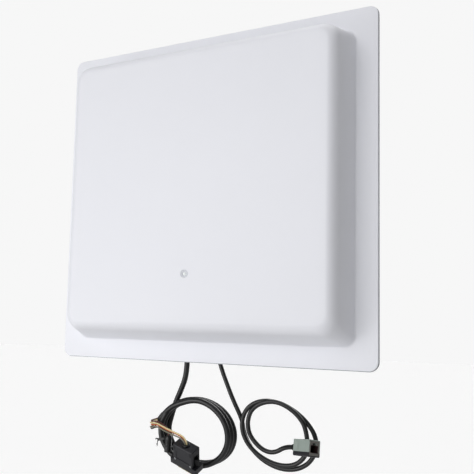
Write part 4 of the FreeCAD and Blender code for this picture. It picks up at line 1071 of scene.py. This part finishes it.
class READER_OT_twist_tie(bpy.types.Operator):
    """Ties the data cable's turns together"""
    bl_idname = "reader.twist_tie"
    bl_label = "Twist tie"

    def execute(self, context):
        degrees, half_y, half_r, wide = 205.0, 12.2, 6.95, 3.0
        centre = coil_point(data_coil, degrees, 0, 12.0)
        place = Matrix.Translation(centre) @ Matrix.Rotation(math.radians(180 - degrees + 9.0), 4, "Y")
        bm = bmesh.new()
        # the band is a rounded rectangle round the turns, drawn across Y and stood on edge
        upright = place @ Matrix.Rotation(math.radians(90), 4, "X")
        loft(bm, [[upright @ p for p in square_points(half_r + out, 4.0 + out, along * wide, 8, half_y + out)]
                  for out, along in ((0, -0.5), (0.8, -0.5), (0.8, 0.5), (0, 0.5))], closed=True)
        bmesh.ops.recalc_face_normals(bm, faces=bm.faces)
        soften(piece("tie_band", bm, materials["black_pvc"], stands_for=("twist_tie",)), 0.15, 2)
        bm = bmesh.new()
        for lean in (-1, 1):
            strip = []
            for i in range(13):
                t = i / 12
                spot = Vector((-half_r - 0.4 - 2.6 * t, -half_y + 4 - 2.2 * t, 4.2 * lean * t - 3.0 * t * t))
                turn = Matrix.Rotation(lean * t * 4.5, 3, "X")
                strip.append([place @ ((spot + turn @ Vector((0, a * 1.3, b * 0.3))) * MM)
                              for a, b in ((-1, -1), (1, -1), (1, 1), (-1, 1))])
            for end in loft(bm, strip):
                bmesh.ops.edgeloop_fill(bm, edges=end)
        bmesh.ops.recalc_face_normals(bm, faces=bm.faces)
        piece("tie_ends", bm, materials["black_pvc"])
        return {"FINISHED"}


class READER_OT_finishes(bpy.types.Operator):
    """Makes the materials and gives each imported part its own"""
    bl_idname = "reader.finishes"
    bl_label = "Finishes"

    def execute(self, context):
        materials.update(make_materials(context.scene.reader_finishes))
        materials["light_ring"] = surface("light_ring", linear("#D9DBE2"), 0.4, cloud=5, tint=0.03, grain=0.4,
                                          relief=0.01, IOR=1.54)
        for node, obj in frame["nodes"].items():
            obj.data.materials.clear()
            obj.data.materials.append(materials[slot_of[node]])
        return {"FINISHED"}


class READER_PT_panel(bpy.types.Panel):
    """Lists the reader panel's sizes, colours and builders"""
    bl_idname = "READER_PT_panel"
    bl_label = "Reader Panel"
    bl_space_type = "VIEW_3D"
    bl_region_type = "UI"
    bl_category = "Reader Panel"

    def draw(self, context):
        for group in (context.scene.reader_panel, context.scene.reader_cables, context.scene.reader_finishes):
            box = self.layout.box()
            for name in group.__annotations__:
                box.prop(group, name)
        for operator in operators:
            self.layout.operator(operator.bl_idname)


operators = (READER_OT_finishes, READER_OT_stage, READER_OT_data_connector, READER_OT_network_jack,
             READER_OT_power_socket, READER_OT_twist_tie, READER_OT_cables, READER_OT_wires, READER_OT_cover,
             READER_OT_back_plate, READER_OT_hood)
groups = {"reader_panel": PanelSizes, "reader_cables": CableSizes, "reader_finishes": Finishes}


def register():
    for cls in (*groups.values(), *operators, READER_PT_panel):
        bpy.utils.register_class(cls)
    for name, group in groups.items():
        setattr(bpy.types.Scene, name, PointerProperty(type=group))


def unregister():
    for name in groups:
        delattr(bpy.types.Scene, name)
    for cls in reversed((*groups.values(), *operators, READER_PT_panel)):
        bpy.utils.unregister_class(cls)


def main():
    register()
    for operator in operators:
        family, action = operator.bl_idname.split(".")
        getattr(getattr(bpy.ops, family), action)()


if __name__ == "__main__":
    main()
